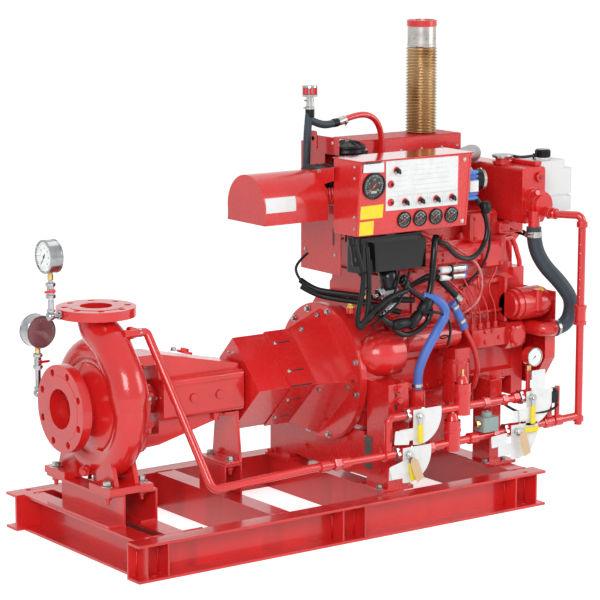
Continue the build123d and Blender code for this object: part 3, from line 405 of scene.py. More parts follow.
class Build:
    """Gathers plain solids into one mesh that carries several finishes."""

    def __init__(self):
        self.points = []
        self.faces = []
        self.round = []
        self.finish = []
        self.used = []

    def pick(self, finish):
        if finish not in self.used:
            self.used.append(finish)
        return self.used.index(finish)

    def put(self, points, faces, finish, smooth):
        start = len(self.points)
        self.points += [Vector(p) for p in points]
        self.faces += [tuple(start + i for i in face) for face in faces]
        self.round += [smooth] * len(faces)
        self.finish += [self.pick(finish)] * len(faces)

    def lathe(self, profile, base, axis, finish, steps=28, smooth=False):
        """A turned solid: profile is (distance along the axis, radius), base is the axis's start."""
        base = Vector(base)
        axis = Vector(axis).normalized()
        u, v = frame_from(axis)
        points, rings = [], []
        for along, radius in profile:
            centre = base + axis * along
            if radius <= 0:
                rings.append([len(points)])
                points.append(centre)
                continue
            rings.append(list(range(len(points), len(points) + steps)))
            turns = [2 * pi * i / steps for i in range(steps)]
            points += [centre + u * (radius * cos(turn)) + v * (radius * sin(turn)) for turn in turns]
        faces = []
        for low, high in zip(rings, rings[1:]):
            for i in range(steps):
                j = (i + 1) % steps
                if len(low) == 1 and len(high) > 1:
                    faces.append((low[0], high[j], high[i]))
                elif len(high) == 1 and len(low) > 1:
                    faces.append((low[i], low[j], high[0]))
                elif len(low) > 1:
                    faces.append((low[i], low[j], high[j], high[i]))
        if len(rings[0]) > 1:
            faces.append(tuple(reversed(rings[0])))
        if len(rings[-1]) > 1:
            faces.append(tuple(rings[-1]))
        self.put(points, faces, finish, smooth)

    def disc(self, base, axis, radius, height, finish, steps=28, edge=0.8):
        """A short cylinder with chamfered rims."""
        edge = min(edge, radius / 3, height / 3)
        self.lathe([(0, radius - edge), (edge, radius), (height - edge, radius), (height, radius - edge)],
                   base, axis, finish, steps)

    def prism(self, outline, origin, u, v, height, finish, edge=0.8):
        """A plate: the outline in u and v around origin, raised by height along u x v, edges chamfered."""
        origin, u, v = Vector(origin), Vector(u).normalized(), Vector(v).normalized()
        w = u.cross(v)
        count = len(outline)
        inner = []
        for i, (a, b) in enumerate(outline):
            before = Vector((a - outline[i - 1][0], b - outline[i - 1][1])).normalized()
            after = Vector((outline[(i + 1) % count][0] - a, outline[(i + 1) % count][1] - b)).normalized()
            inward = Vector((-before.y, before.x)) + Vector((-after.y, after.x))
            inward = inward.normalized() * edge
            inner.append((a + inward.x, b + inward.y))
        edge = min(edge, height / 3)
        levels = [(inner, 0), (outline, edge), (outline, height - edge), (inner, height)]
        points = [origin + u * a + v * b + w * lift for loop, lift in levels for a, b in loop]
        faces = [tuple(reversed(range(count))), tuple(range(3 * count, 4 * count))]
        for level in range(3):
            for i in range(count):
                j = (i + 1) % count
                low = level * count
                faces.append((low + i, low + j, low + count + j, low + count + i))
        self.put(points, faces, finish, False)

    def box(self, low, high, finish, edge=1.0):
        """A block between two corners with chamfered upper and lower edges."""
        low, high = Vector(low), Vector(high)
        size = high - low
        outline = rounded(size.x, size.y, min(edge, size.x / 4, size.y / 4), 1)
        self.prism(outline, (low + high) / 2 - Z * size.z / 2, X, Y, size.z, finish, min(edge, size.z / 3))

    def hexagon(self, base, axis, across, height, finish, turn=0.0):
        """A hex head with a chamfered top."""
        radius = across / 3 ** 0.5
        axis = Vector(axis).normalized()
        u, v = frame_from(axis)
        corners = [radians(60 * i + turn) for i in range(6)]
        outline = [(radius * cos(corner), radius * sin(corner)) for corner in corners]
        self.prism(outline, base, u, v, height, finish, across * 0.06)

    def bolt(self, base, axis, across, finish="zinc", washer=True, turn=12.0):
        """Washer, hex head and the small raised disc on the head."""
        base, axis = Vector(base), Vector(axis).normalized()
        lift = 0.0
        if washer:
            lift = across * 0.13
            self.disc(base, axis, across * 0.78, lift, finish, 20, 0.4)
        self.hexagon(base + axis * lift, axis, across, across * 0.55, finish, turn)
        self.disc(base + axis * (lift + across * 0.54), axis, across * 0.4, across * 0.07, finish, 16, 0.3)

    def screw(self, base, axis, radius, finish="zinc"):
        """Round-headed screw on a small washer."""
        base, axis = Vector(base), Vector(axis).normalized()
        self.disc(base, axis, radius * 1.25, radius * 0.25, finish, 18, 0.3)
        dome = [(radius * 0.25, radius), (radius * 0.6, radius * 0.85), (radius * 0.8, radius * 0.5),
                (radius * 0.72, radius * 0.22), (radius * 0.72, 0)]
        self.lathe(dome, base, axis, finish, 16, True)

    def ring(self, base, axis, radius, tube, finish, steps=32, sides=8):
        """A round ring, such as a cable tie."""
        base, axis = Vector(base), Vector(axis).normalized()
        u, v = frame_from(axis)
        points, faces = [], []
        for i in range(steps):
            out = u * cos(2 * pi * i / steps) + v * sin(2 * pi * i / steps)
            for k in range(sides):
                turn = 2 * pi * k / sides
                points.append(base + out * (radius + tube * cos(turn)) + axis * tube * sin(turn))
        for i in range(steps):
            for k in range(sides):
                a, b = i * sides + k, i * sides + (k + 1) % sides
                c, d = ((i + 1) % steps) * sides + (k + 1) % sides, ((i + 1) % steps) * sides + k
                faces.append((a, d, c, b))
        self.put(points, faces, finish, True)

    def clamp(self, base, axis, radius, width, finish="stainless", side=0.0):
        """Worm-drive hose clamp: a band with its screw housing."""
        base, axis = Vector(base), Vector(axis).normalized()
        u, v = frame_from(axis)
        out = u * cos(side) + v * sin(side)
        along = axis.cross(out)
        self.lathe([(0, radius - 0.6), (0, radius + 1.2), (width, radius + 1.2), (width, radius - 0.6)],
                   base, axis, finish, 32)
        screw = base + axis * (width / 2) + out * (radius + 3) - along * 11
        self.lathe([(0, 0), (0, 4.5), (4, 4.5), (4, 3), (20, 3), (20, 0)], screw, along, finish, 12)

    def dress(self, name, body=SET, soften=0.0):
        """Writes the mesh as an object that rides on a body."""
        mesh = bpy.data.meshes.new(name)
        mesh.from_pydata([p * MM for p in self.points], [], self.faces)
        mesh.polygons.foreach_set("use_smooth", self.round)
        mesh.polygons.foreach_set("material_index", self.finish)
        for finish in self.used:
            mesh.materials.append(FINISHES[finish])
        mesh.update()
        piece = bpy.data.objects.new(name, mesh)
        bpy.context.scene.collection.objects.link(piece)
        if soften:
            bevel = piece.modifiers.new("Edges", "BEVEL")
            bevel.width = soften * MM
            bevel.segments = 2
            bevel.limit_method = "ANGLE"
        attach(piece, body)
        return piece


def rounded(width, height, radius, steps=4):
    """Rounded rectangle around the origin, anticlockwise."""
    outline = []
    for sx, sy, start in ((1, 1, 0), (-1, 1, 90), (-1, -1, 180), (1, -1, 270)):
        centre = (sx * (width / 2 - radius), sy * (height / 2 - radius))
        for i in range(steps + 1):
            angle = radians(start + 90 * i / steps)
            outline.append((centre[0] + radius * cos(angle), centre[1] + radius * sin(angle)))
    return outline


def cables(name, routes, radius, finish):
    """Round cables or hoses, each a smooth curve held by the points of its route."""
    curve = bpy.data.curves.new(name, "CURVE")
    curve.dimensions = "3D"
    curve.bevel_depth = radius * MM
    curve.bevel_resolution = 4
    curve.resolution_u = 10
    curve.use_fill_caps = True
    for route in routes:
        spline = curve.splines.new("NURBS")
        spline.points.add(len(route) - 1)
        for point, place in zip(spline.points, route):
            point.co = (place[0] * MM, place[1] * MM, place[2] * MM, 1)
        spline.order_u = 3
        spline.use_endpoint_u = True
    curve.materials.append(FINISHES[finish])
    piece = bpy.data.objects.new(name, curve)
    bpy.context.scene.collection.objects.link(piece)
    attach(piece, SET)
    return piece


def numerals(name, marks, size, finish, u, v):
    """Plain numbers standing on a dial: marks are (text, centre), u is to the right and v is up."""
    u, v = Vector(u), Vector(v)
    turn = Matrix((u, v, u.cross(v))).transposed().to_4x4()
    for index, (text, centre) in enumerate(marks):
        curve = bpy.data.curves.new(f"{name}_{index}", "FONT")
        curve.body = text
        curve.size = size * MM
        curve.align_x = "CENTER"
        curve.align_y = "CENTER"
        curve.resolution_u = 2
        curve.materials.append(FINISHES[finish])
        piece = bpy.data.objects.new(f"{name}_{index}", curve)
        bpy.context.scene.collection.objects.link(piece)
        piece.matrix_world = Matrix.Translation(Vector(centre) * MM) @ turn
        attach(piece, SET)


def smooth_group():
    """A node group that shades whatever passes through it smooth."""
    group = bpy.data.node_groups.new("smooth_shading", "GeometryNodeTree")
    group.interface.new_socket("Geometry", in_out="INPUT", socket_type="NodeSocketGeometry")
    group.interface.new_socket("Geometry", in_out="OUTPUT", socket_type="NodeSocketGeometry")
    source = group.nodes.new("NodeGroupInput")
    smooth = group.nodes.new("GeometryNodeSetShadeSmooth")
    target = group.nodes.new("NodeGroupOutput")
    group.links.new(source.outputs[0], smooth.inputs["Geometry"])
    group.links.new(smooth.outputs[0], target.inputs[0])
    return group


# The finish of each carried-over piece
NODE_FINISHES = {
    "base_red": ("rail_near", "rail_far", "cross_beams", "pump_pedestals"),
    "cast_red": ("pump_casing", "suction_flange", "discharge_flange", "casing_cover", "bearing_bracket"),
    "sheet_red": ("guard_front", "guard_rear", "control_panel", "intake_hood", "heat_shield",
                  "rocker_cover",
                  "engine_feet_rear", "engine_feet_front", "bearing_foot", "heat_exchanger", "belt_guard",
                  "oil_filter", "starter_motor", "oil_pan", "cock_lever_discharge", "cock_lever_suction"),
    "block_red": ("flywheel_housing", "engine_block", "cylinder_head", "alternator", "injection_pump",
                  "exhaust_manifold", "belt_drive", "raw_water_strainer"),
    "pipe_red": ("loop_lower", "loop_upper", "loop_riser", "pump_line", "bypass_pipe"),
    "shaft_steel": ("drive_coupling",),
    "bronze": ("impeller",),
    "black_gloss": ("ecm_box", "air_cleaner"),
    "black_rubber": ("wiring_harness",),
    "bellows": ("exhaust_flex",),
    "hose_blue": ("blue_hoses",),
    "hose_grey": ("breather_pipe", "coolant_hose"),
    "solenoid_green": ("solenoid_valve",),
    "tag_white": ("valve_plates",),
    "chrome": ("gauge_discharge", "gauge_suction"),
    "zinc": ("lever_low_left", "lever_high_left", "lever_low_right", "lever_high_right"),
    "bottle": ("coolant_bottle",),
}
# Widths of rounded edges in millimetres: the pieces that aren't listed keep their edges
ROUNDED_NODES = {
    "rail_near": 1.5, "rail_far": 1.5, "cross_beams": 1.5, "pump_pedestals": 2.0, "casing_cover": 3.0,
    "guard_front": 0.8, "guard_rear": 0.8, "control_panel": 2.0, "rocker_cover": 3.0,
                 "engine_feet_rear": 2.0,
    "engine_feet_front": 2.0, "bearing_foot": 2.5, "heat_exchanger": 2.5, "belt_guard": 1.0, "oil_pan": 6.0,
    "engine_block": 3.0, "cylinder_head": 4.0, "injection_pump": 3.0, "exhaust_manifold": 6.0,
                 "ecm_box": 2.5,
    "bearing_bracket": 4.0, "solenoid_valve": 3.0, "alternator": 2.0, "starter_motor": 2.0,
    "coolant_bottle": 7.0, "raw_water_strainer": 3.0, "suction_flange": 1.5, "discharge_flange": 1.5,
    "heat_shield": 0.6, "intake_hood": 0.6, "flywheel_housing": 5.0,
}
SHARP_DEG = 32


class FIREPUMP_OT_finishes(bpy.types.Operator):
    """Make the finishes, give each carried-over piece its own and round its edges"""
    bl_idname = "firepump.finishes"
    bl_label = "Finishes"

    def execute(self, context):
        make_finishes(context.scene.firepump_paint)
        smooth = smooth_group()
        for finish, nodes in NODE_FINISHES.items():
            for node in nodes:
                piece = NODES[node]
                piece.data.materials.clear()
                piece.data.materials.append(FINISHES[finish])
        for name, piece in NODES.items():
            weld = piece.modifiers.new("Join", "WELD")
            weld.merge_threshold = 0.00002
            if name in ROUNDED_NODES:
                bevel = piece.modifiers.new("Edges", "BEVEL")
                bevel.width = ROUNDED_NODES[name] * MM
                bevel.segments = 2
                bevel.limit_method = "ANGLE"
                bevel.angle_limit = radians(SHARP_DEG)
                bevel.use_clamp_overlap = True
            else:
                split = piece.modifiers.new("Edges", "EDGE_SPLIT")
                split.split_angle = radians(SHARP_DEG)
            shading = piece.modifiers.new("Smooth", "NODES")
            shading.node_group = smooth
            if name in ROUNDED_NODES:
                weighted = piece.modifiers.new("Faces", "WEIGHTED_NORMAL")
                weighted.mode = "FACE_AREA"
                weighted.weight = 90
        return {"FINISHED"}


# Stage
CAMERA_PLACE = (-4.71998, -6.64547, 2.1938)
CAMERA_TURN_DEG = (79.85, -0.06, -35.83)
LIGHT_AIM = (0, 0, 0.6)
KEY_PLACE, KEY_SIZE = (-5.0, -5.6, 3.9), 3.2
FILL_PLACE, FILL_SIZE = (4.5, -4.0, 2.6), 3.0
TOP_PLACE, TOP_SIZE, TOP_SHARE = (0.5, 1.5, 5.5), 4.0, 0.45
FLOOR_HALF = 30.0
FLOOR_GLOW = 0.65


class FIREPUMP_OT_stage(bpy.types.Operator):
    """Set up the camera, the pale floor, the lights and the white surroundings"""
    bl_idname = "firepump.stage"
    bl_label = "Stage"

    def light(self, name, place, size, power):
        data = bpy.data.lights.new(name, "AREA")
        data.size = size
        data.energy = power
        lamp = bpy.data.objects.new(name, data)
        lamp.location = place
        lamp.rotation_euler = (Vector(LIGHT_AIM) - Vector(place)).to_track_quat("-Z", "Y").to_euler()
        bpy.context.scene.collection.objects.link(lamp)

    def execute(self, context):
        scene = context.scene
        stage = scene.firepump_stage
        scene.view_settings.view_transform = "Standard"
        camera = bpy.data.cameras.new("camera")
        camera.lens = stage.lens
        camera.sensor_width = 36.0
        camera.clip_end = 100.0
        holder = bpy.data.objects.new("camera", camera)
        holder.location = CAMERA_PLACE
        holder.rotation_euler = [radians(turn) for turn in CAMERA_TURN_DEG]
        scene.collection.objects.link(holder)
        scene.camera = holder
        self.light("key", KEY_PLACE, KEY_SIZE, stage.key)
        self.light("fill", FILL_PLACE, FILL_SIZE, stage.fill)
        self.light("top", TOP_PLACE, TOP_SIZE, stage.fill * TOP_SHARE)

        sky = bpy.data.worlds.new("sky")
        scene.world = sky
        sky.use_nodes = True
        tree = sky.node_tree
        tree.nodes.clear()
        ray = tree.nodes.new("ShaderNodeLightPath").outputs
        seen = Value(tree, ray["Is Camera Ray"]) + Value(tree, ray["Is Glossy Ray"])
        seen = seen + Value(tree, ray["Is Transmission Ray"])
        strength = seen.step(0.0, 0.5) * (1 - stage.sky) + stage.sky
        glow = tree.nodes.new("ShaderNodeBackground")
        tree.links.new(strength.socket, glow.inputs["Strength"])
        out = tree.nodes.new("ShaderNodeOutputWorld")
        tree.links.new(glow.outputs[0], out.inputs[0])
        glow.inputs["Color"].default_value = (1, 1, 1, 1)

        floor_mesh = bpy.data.meshes.new("floor")
        corners = [(FLOOR_HALF * x, FLOOR_HALF * y, 0) for x, y in ((-1, -1), (1, -1), (1, 1), (-1, 1))]
        floor_mesh.from_pydata(corners, [], [(0, 1, 2, 3)])
        floor = bpy.data.objects.new("floor", floor_mesh)
        scene.collection.objects.link(floor)
        pale = Finish("floor_pale", Roughness=0.9, Specular_IOR_Level=0.1)
        patches = pale.noise(1.5).step(0.3, 0.7)
        pale.set("Base Color", pale.mix(patches, (0.86, 0.86, 0.86, 1), (0.88, 0.88, 0.88, 1)))
        ray = pale.add("ShaderNodeLightPath").outputs
        lift = Value(pale.tree, ray["Is Camera Ray"]) + Value(pale.tree, ray["Is Glossy Ray"])
        pale.set("Emission Strength", FLOOR_GLOW)
        pale.set("Emission Color", pale.mix(lift.step(0.0, 0.5), (0, 0, 0, 1), (1, 1, 1, 1)))
        floor_mesh.materials.append(pale.material)
        return {"FINISHED"}


# Pump
PUMP_X = -709.0
SUCTION_X = PUMP_X - 137.4
FOOT_TOP = 247.6
COVER_STUD_R = 184.0
FOOT_BOLTS = [(PUMP_X + dx, side * 157.5, FOOT_TOP) for dx in (-62.5, 62.5) for side in (-1, 1)]
BEARING_FOOT_BOLTS = [(-243.0, side * 58.0, 236.0) for side in (-1, 1)]


class FIREPUMP_OT_pump_parts(bpy.types.Operator):
    """Add the pump's bolts, nuts, plugs, cover studs, bosses, seam and gland"""
    bl_idname = "firepump.pump_parts"
    bl_label = "Pump parts"

    def execute(self, context):
        sizes = context.scene.firepump_sizes
        bolts = Build()
        for place in FOOT_BOLTS:
            bolts.bolt(place, Z, sizes.foot_bolt)
        for place in BEARING_FOOT_BOLTS:
            bolts.bolt(place, Z, sizes.foot_bolt - 4)
        bolts.bolt((-441, -30, 621), Z, 15)
        bolts.dress("foot_bolts")

        nuts = Build()
        under = 216.0
        for x, y, _ in FOOT_BOLTS + BEARING_FOOT_BOLTS:
            nuts.hexagon((x, y, under - 12), Z, sizes.foot_bolt - 2, 12, "base_red")
            nuts.disc((x, y, under - 26), Z, 7, 15, "base_red", 16)
        nuts.dress("foot_nuts")

        cast = Build()
        for i in range(12):
            turn = radians(15 + 30 * i)
            y, z = COVER_STUD_R * cos(turn), SHAFT_Z + COVER_STUD_R * sin(turn)
            cast.disc((-652, y, z), X, 13, 22, "cast_red", 20)
            cast.hexagon((-632, y, z), X, 19, 11, "cast_red")
            cast.disc((-622, y, z), X, 6.5, 7, "cast_red", 14)
        cast.disc((-765, -25, 276), (-0.8, -0.5, -0.15), 17, 20, "cast_red", 24)
        cast.hexagon((-780, -34, 273), (-0.8, -0.5, -0.15), 22, 13, "cast_red")
        cast.disc((-672, -124, 668), (0.2, -0.55, 0.85), 13, 12, "cast_red", 20)
        cast.disc((-664, -118, 716), (1, -0.1, 0), 20, 14, "cast_red", 24)
        cast.hexagon((-650, -119, 716), (1, -0.1, 0), 30, 12, "pipe_red")
        cast.hexagon((-636, -130, 716), (1, 0, 0), 26, 10, "zinc")
        fillet = [(0, 76), (6, 84), (16, 92), (40, 144), (44, 144)]
        cast.lathe(fillet, (SUCTION_X + 64, 0, SHAFT_Z), X, "cast_red", 56, True)
        cast.dress("casing_bosses")

        plug = Build()
        plug.bolt((-672, -124, 680), (0.2, -0.55, 0.85), 16, washer=False)
        for y, z in ((-190, 515), (-188, 500)):
            plug.screw((-634, y, z), (0.3, -1, 0), 6)
        plug.dress("casing_plugs")

        box = Build()
        seam_y = -86.0
        box.box((-512, seam_y - 2.5, 512), (-210, seam_y + 1, 517), "cast_red", 1)
        for x in (-400, -300):
            box.disc((x, seam_y - 1, 470), -Y, 15, 5, "cast_red", 24)
        box.disc((-300, -60, 406), -Z, 14, 14, "cast_red", 20)
        box.hexagon((-300, -60, 394), -Z, 20, 12, "cast_red")
        box.disc((-380, 0, 600), (0.27, 0, 1), 26, 8, "cast_red", 28)
        box.hexagon((-380, 0, 607), (0.27, 0, 1), 24, 10, "cast_red")
        for i in range(4):
            box.disc((-590 + 22 * i, 75 - 3 * i, 588 - 2 * i), (0.2, 0.5, 0.85), 6, 5, "cast_red", 14)
        for side in (-1, 1):
            for x in (-236, -262):
                box.hexagon((x, side * 40, 399), -Z, 18, 12, "cast_red")
        box.dress("bearing_box_bosses")

        seal = Build()
        gland = [(0, 74), (8, 76), (14, 60), (52, 56), (60, 40), (60, 23)]
        # The gland is drawn in red darkened as painted shade
        seal.lathe(gland, (-577, 0, SHAFT_Z), X, "painted_shade_red", 36)
        seal.lathe([(0, 22.5), (2, 24), (52, 24), (54, 22.5)], (-566, 0, SHAFT_Z), X, "shaft_steel", 32)
        for y in (48, -48):
            seal.disc((-570, y, SHAFT_Z), X, 5, 42, "zinc", 16)
            seal.hexagon((-528, y, SHAFT_Z), X, 15, 9, "zinc")
        seal.dress("gland")
        return {"FINISHED"}


# Guard
DISC_X = 160.0
DISC_BOLT_R = 214.0
DISC_BOLT_DEG = (12, 48, 72, 103, 163, 192, 255, 285, 318, 345)
FLARE_HALF = 214.0
FLARE_X = 28.0
SLEEVE_HALF = 159.8
UP_OUT = Vector((0, -1, 1)).normalized()
DOWN_OUT = Vector((0, -1, -1)).normalized()
SLOT_FACES = (("upper", UP_OUT, (0.22, 0.72)), ("lower", DOWN_OUT, (0.22, 0.66)))


def flare_point(x, side, share):
    """A point on the guard's flared sheet: side picks the face, share runs from its ridge to its corner."""
    grow = (x - FLARE_X) / (DISC_X - FLARE_X)
    half = SLEEVE_HALF + max(0.0, grow) * (FLARE_HALF - SLEEVE_HALF)
    up = 1 if side == "upper" else -1
    return Vector((x, -half * share, SHAFT_Z + up * half * (1 - share)))


class FIREPUMP_OT_guard_parts(bpy.types.Operator):
    """Add the coupling guard's bolts, screws, slots and lap edges"""
    bl_idname = "firepump.guard_parts"
    bl_label = "Guard parts"

    def execute(self, context):
        size = context.scene.firepump_sizes.guard_bolt
        parts = Build()
        for turn in DISC_BOLT_DEG:
            y, z = DISC_BOLT_R * cos(radians(turn)), SHAFT_Z + DISC_BOLT_R * sin(radians(turn))
            parts.bolt((DISC_X - 0.5, y, z), -X, size)
        for x, share, out, side in ((70, 0.12, UP_OUT, "upper"), (142, 0.06, UP_OUT, "upper"),
                                    (52, 0.86, DOWN_OUT, "lower"), (140, 0.9, DOWN_OUT, "lower")):
            parts.bolt(flare_point(x, side, share), out, size - 3)
        for side, out, shares in SLOT_FACES:
            for share in shares:
                parts.screw(flare_point(-46, side, share), out, 6)
        for y in (0, 24):
            parts.screw((-192.3, y - 3, SHAFT_Z + 104), -X, 4.5)
        parts.dress("guard_bolts")

        slots = Build()
        for side, out, shares in SLOT_FACES:
            along = X if side == "upper" else -X
            for share in shares:
                centre = flare_point(-10, side, share) - out * 0.6
                slots.prism(rounded(42, 5, 2.4, 3), centre, along, out.cross(along), 1.1, "ink", 0.2)
        edge = flare_point(-30, "upper", 1.0)
        slots.prism(rounded(84, 5, 2.0, 3), edge + Vector((4, 1.2, 3)), X, UP_OUT.cross(X), 1.3, "ink", 0.2)
        corner = flare_point(150, "upper", 0.985) - UP_OUT * 0.8
        slots.prism(rounded(22, 6, 2.0, 3), corner, X, UP_OUT.cross(X), 1.4, "ink", 0.2)
        slots.dress("guard_slots")

        laps = Build()
        for side, out in (("upper", UP_OUT), ("lower", DOWN_OUT)):
            low, high = flare_point(28.5, side, 0.02), flare_point(28.5, side, 0.98)
            run = high - low
            outline = [(0, 0), (run.length, 0), (run.length, 3), (0, 3)]
            u = run.normalized()
            v = X if u.cross(X).dot(out) > 0 else -X
            laps.prism(outline, low + out * 0.2, u, v, 1.0, "sheet_red", 0.3)
        laps.dress("guard_laps")
        return {"FINISHED"}


# Base and engine feet
class FIREPUMP_OT_base_parts(bpy.types.Operator):
    """Add the base's weld beads and the engine feet's bolts, slots and window, with painted shade in the
    larger slot
    """
    bl_idname = "firepump.base_parts"
    bl_label = "Base parts"

    def execute(self, context):
        welds = Build()
        bead, cap_bead = [(0, 2.6), (100, 2.6)], [(0, 3.2), (68, 3.2)]
        for side in (-1, 1):
            for x in (-783, -706, -38, 50, 690, 780):
                for dx in (-4.5, 4.5):
                    welds.lathe(bead, (x + dx, side * 348.5, 10), Z, "base_red", 8, True)
            for x in (-750, -606, -276, 190, 720):
                welds.lathe(cap_bead, (x - 2, side * 339.0, 119.5), X, "base_red", 8, True)
        welds.dress("base_welds")

        feet = Build()
        for side in (-1, 1):
            for z in (462, 424):
                feet.bolt((236, side * 335, z), side * Y, 22, "sheet_red")
            for x in (178, 290):
                feet.bolt((x, side * 310, 132), Z, 20, "zinc" if side < 0 else "sheet_red")
            for x in (770, 690):
                feet.bolt((x, side * 240, 132), Z, 18, "zinc")
            feet.bolt((724, side * 235, 420), Z, 20, "sheet_red")
        for y in (-118, -300, 118):
            for z in (262, 190):
                feet.bolt((195, y, z), -X, 17, "sheet_red")
        feet.dress("engine_foot_bolts")

        dark = Build()
        dark.prism(rounded(11, 74, 4.5), (226, -335.2, 430), X, Z, 0.6, "ink", 0.2)
        # The larger slot is a plate of red darkened as painted shade
        dark.prism(rounded(46, 92, 6), (250, -335.2, 240), X, Z, 0.5, "painted_shade_red", 0.2)
        dark.dress("engine_foot_slots_and_painted_shade")

        window = Build()
        window.prism(rounded(42, 112, 1.5), (194.6, -229, 236), -Y, Z, 1.2, "window_dark", 0.3)
        window.prism(rounded(5, 5, 1.2), (193.2, -212, 288), -Y, Z, 1.0, "brass", 0.2)
        window.dress("rear_plate_window")
        return {"FINISHED"}


# Gauges
class Dial:
    """A round instrument on a build: ring, face, ticks, needle and lens."""

    def __init__(self, build, centre, axis, up, radius):
        self.build = build
        self.centre = Vector(centre)
        self.axis = Vector(axis).normalized()
        self.up = Vector(up).normalized()
        self.right = self.up.cross(self.axis)
        self.radius = radius

    def spot(self, turn, share, lift=0.0):
        """A place on the face: turn in degrees clockwise from the top, share of the radius."""
        reach = self.radius * share
        turn = radians(turn)
        across, up = self.right * (reach * sin(turn)), self.up * (reach * cos(turn))
        return self.centre + across + up + self.axis * lift

    def ring(self, finish, depth):
        r = self.radius
        profile = [(0, r * 0.99), (0, r), (depth * 0.75, r), (depth, r * 0.965), (depth, r * 0.9),
                   (depth * 0.35, r * 0.87)]
        self.build.lathe(profile, self.centre, self.axis, finish, 48)

    def face(self, finish, lift):
        base = self.centre + self.axis * (lift - 0.6)
        self.build.disc(base, self.axis, self.radius * 0.9, 0.8, finish, 40, 0.1)

    def ticks(self, finish, start, end, count, lift, length=0.12, width=0.02):
        for i in range(count):
            turn = start + (end - start) * i / (count - 1)
            long = length * (1.5 if i % 5 == 0 else 1)
            direction = (self.spot(turn, 1) - self.centre).normalized()
            middle = self.spot(turn, 0.82 - long / 2, lift)
            self.build.prism(rounded(self.radius * width, self.radius * long, 0.1, 1), middle,
                             direction.cross(self.axis), direction, 0.3, finish, 0.05)

    def needle(self, finish, turn, lift, length=0.62):
        direction = (self.spot(turn, 1) - self.centre).normalized()
        side = direction.cross(self.axis)
        r, base = self.radius, self.centre + self.axis * lift
        wide, tail, tip = r * 0.035, -r * 0.22, r * 0.012
        outline = [(-wide, tail), (wide, tail), (tip, r * length), (-tip, r * length)]
        self.build.prism(outline, base, side, direction, 0.6, finish, 0.1)
        self.build.disc(base, self.axis, r * 0.08, 1.4, finish, 16, 0.2)

    def lens(self, lift, finish="lens"):
        self.build.disc(self.centre + self.axis * lift, self.axis, self.radius * 0.895, 0.8, finish, 40,
                        0.1)


class FIREPUMP_OT_gauges(bpy.types.Operator):
    """Add the faces, rings, fittings and numbers of the two pump gauges and the loop's small gauge"""
    bl_idname = "firepump.gauges"
    bl_label = "Gauges"

    def execute(self, context):
        build = Build()
        discharge = Dial(build, (-890, 0, 962), -X, Z, 53.0)
        discharge.ring("chrome", 7)
        discharge.face("dial_white", 2.4)
        discharge.ticks("ink", -135, 135, 31, 2.6)
        discharge.needle("ink", 215, 3.6)
        discharge.lens(5.2)
        back_rim = [(0, 50), (0, 53), (5, 53), (5, 50)]
        build.lathe(back_rim, (-859, 0, 962), X, "chrome", 48)
        marks = [(str(10 * i), discharge.spot(-135 + 45 * i, 0.5, 2.8)) for i in range(7)]
        numerals("discharge_number", marks, 9, "ink", -Y, Z)

        suction = Dial(build, (-829, 142, 698), -Y, Z, 53.0)
        suction.ring("chrome", 7)
        # The face is a dark lens with a painted reflection
        suction.face("lens_dark_painted_reflection", 3.0)
        suction.ticks("strap_grey", -135, 135, 31, 3.4, 0.06, 0.012)
        build.lathe(back_rim, (-829, 178, 698), Y, "chrome", 48)
        build.disc((-829, 139.6, 732), -Y, 2.6, 1.4, "zinc", 14, 0.3)

        loop = Dial(build, (768, -396, 518), -Y, Z, 32.0)
        loop.ring("chrome", 6)
        loop.face("dial_white", 2.0)
        loop.ticks("ink", -135, 135, 21, 2.2)
        loop.needle("ink", 230, 3.0)
        loop.lens(4.4)
        marks = [(str(2 * i), loop.spot(-135 + 54 * i, 0.5, 2.4)) for i in range(6)]
        numerals("loop_number", marks, 6, "ink", X, Z)
        build.hexagon((757, -378, 470), Z, 17, 18, "brass")
        build.disc((757, -378, 458), Z, 8, 12, "brass", 20)

        for x, y, top, low in ((-872, 0, 915, 830), (-829, 162, 650, 575)):
            build.hexagon((x, y, top - 27), Z, 16, 17, "brass")
            build.disc((x, y, top - 10), Z, 8.5, 5, "brass", 24)
            for lift in (1, 38):
                build.hexagon((x, y, low + lift), Z, 27, 12, "chrome")
            build.disc((x, y, low - 2), Z, 13, 4, "tag_white", 24)
        bend = [(0, 0), (2, 8), (6, 12.5), (16, 13.5), (24, 12), (28, 0)]
        bead = [(0, 10), (2, 13.5), (9, 13.5), (11, 10)]
        for place, out in (((-872, 0, 773.6), -X), ((-829, 162, 495.6), Y)):
            place = Vector(place)
            build.lathe(bend, place - out * 12, out, "chrome", 28, True)
            build.lathe(bead, place + Z * 12, Z, "chrome", 28)
            build.lathe(bead, place - out * 24, -out, "chrome", 28)
        build.dress("gauge_parts")
        return {"FINISHED"}


# Panel
# The front leans forward: its left edge, the height of its foot, its rise and its lean
PANEL_LEFT = 95.0
PANEL_LOW = 972.0
PANEL_RISE = 244.0
PANEL_LEAN = 25.0
PANEL_SLOPE = (PANEL_RISE ** 2 + PANEL_LEAN ** 2) ** 0.5 / PANEL_RISE
PANEL_UP = Vector((0, -PANEL_LEAN, PANEL_RISE)).normalized()
PANEL_OUT = X.cross(PANEL_UP)
KNOBS_X = (190.3, 254.9, 320.1, 386.8)
DIALS_X = (193.1, 259.1, 325.2, 391.1)
PUSH_BUTTONS = ((126.8, 163.7), (131.6, 103.4))
FRONT_SCREWS = ((429.5, 223.5), (439.8, 15.7))
SIDE_SCREWS_Z = (1197, 1160, 1035, 997)


def on_panel(across, height, out=0.0):
    """A place on the leaning front: across from its left edge, height above its foot."""
    lean = PANEL_LEAN * height / PANEL_RISE
    return Vector((PANEL_LEFT + across, -285.0 - lean, PANEL_LOW + height)) + PANEL_OUT * out


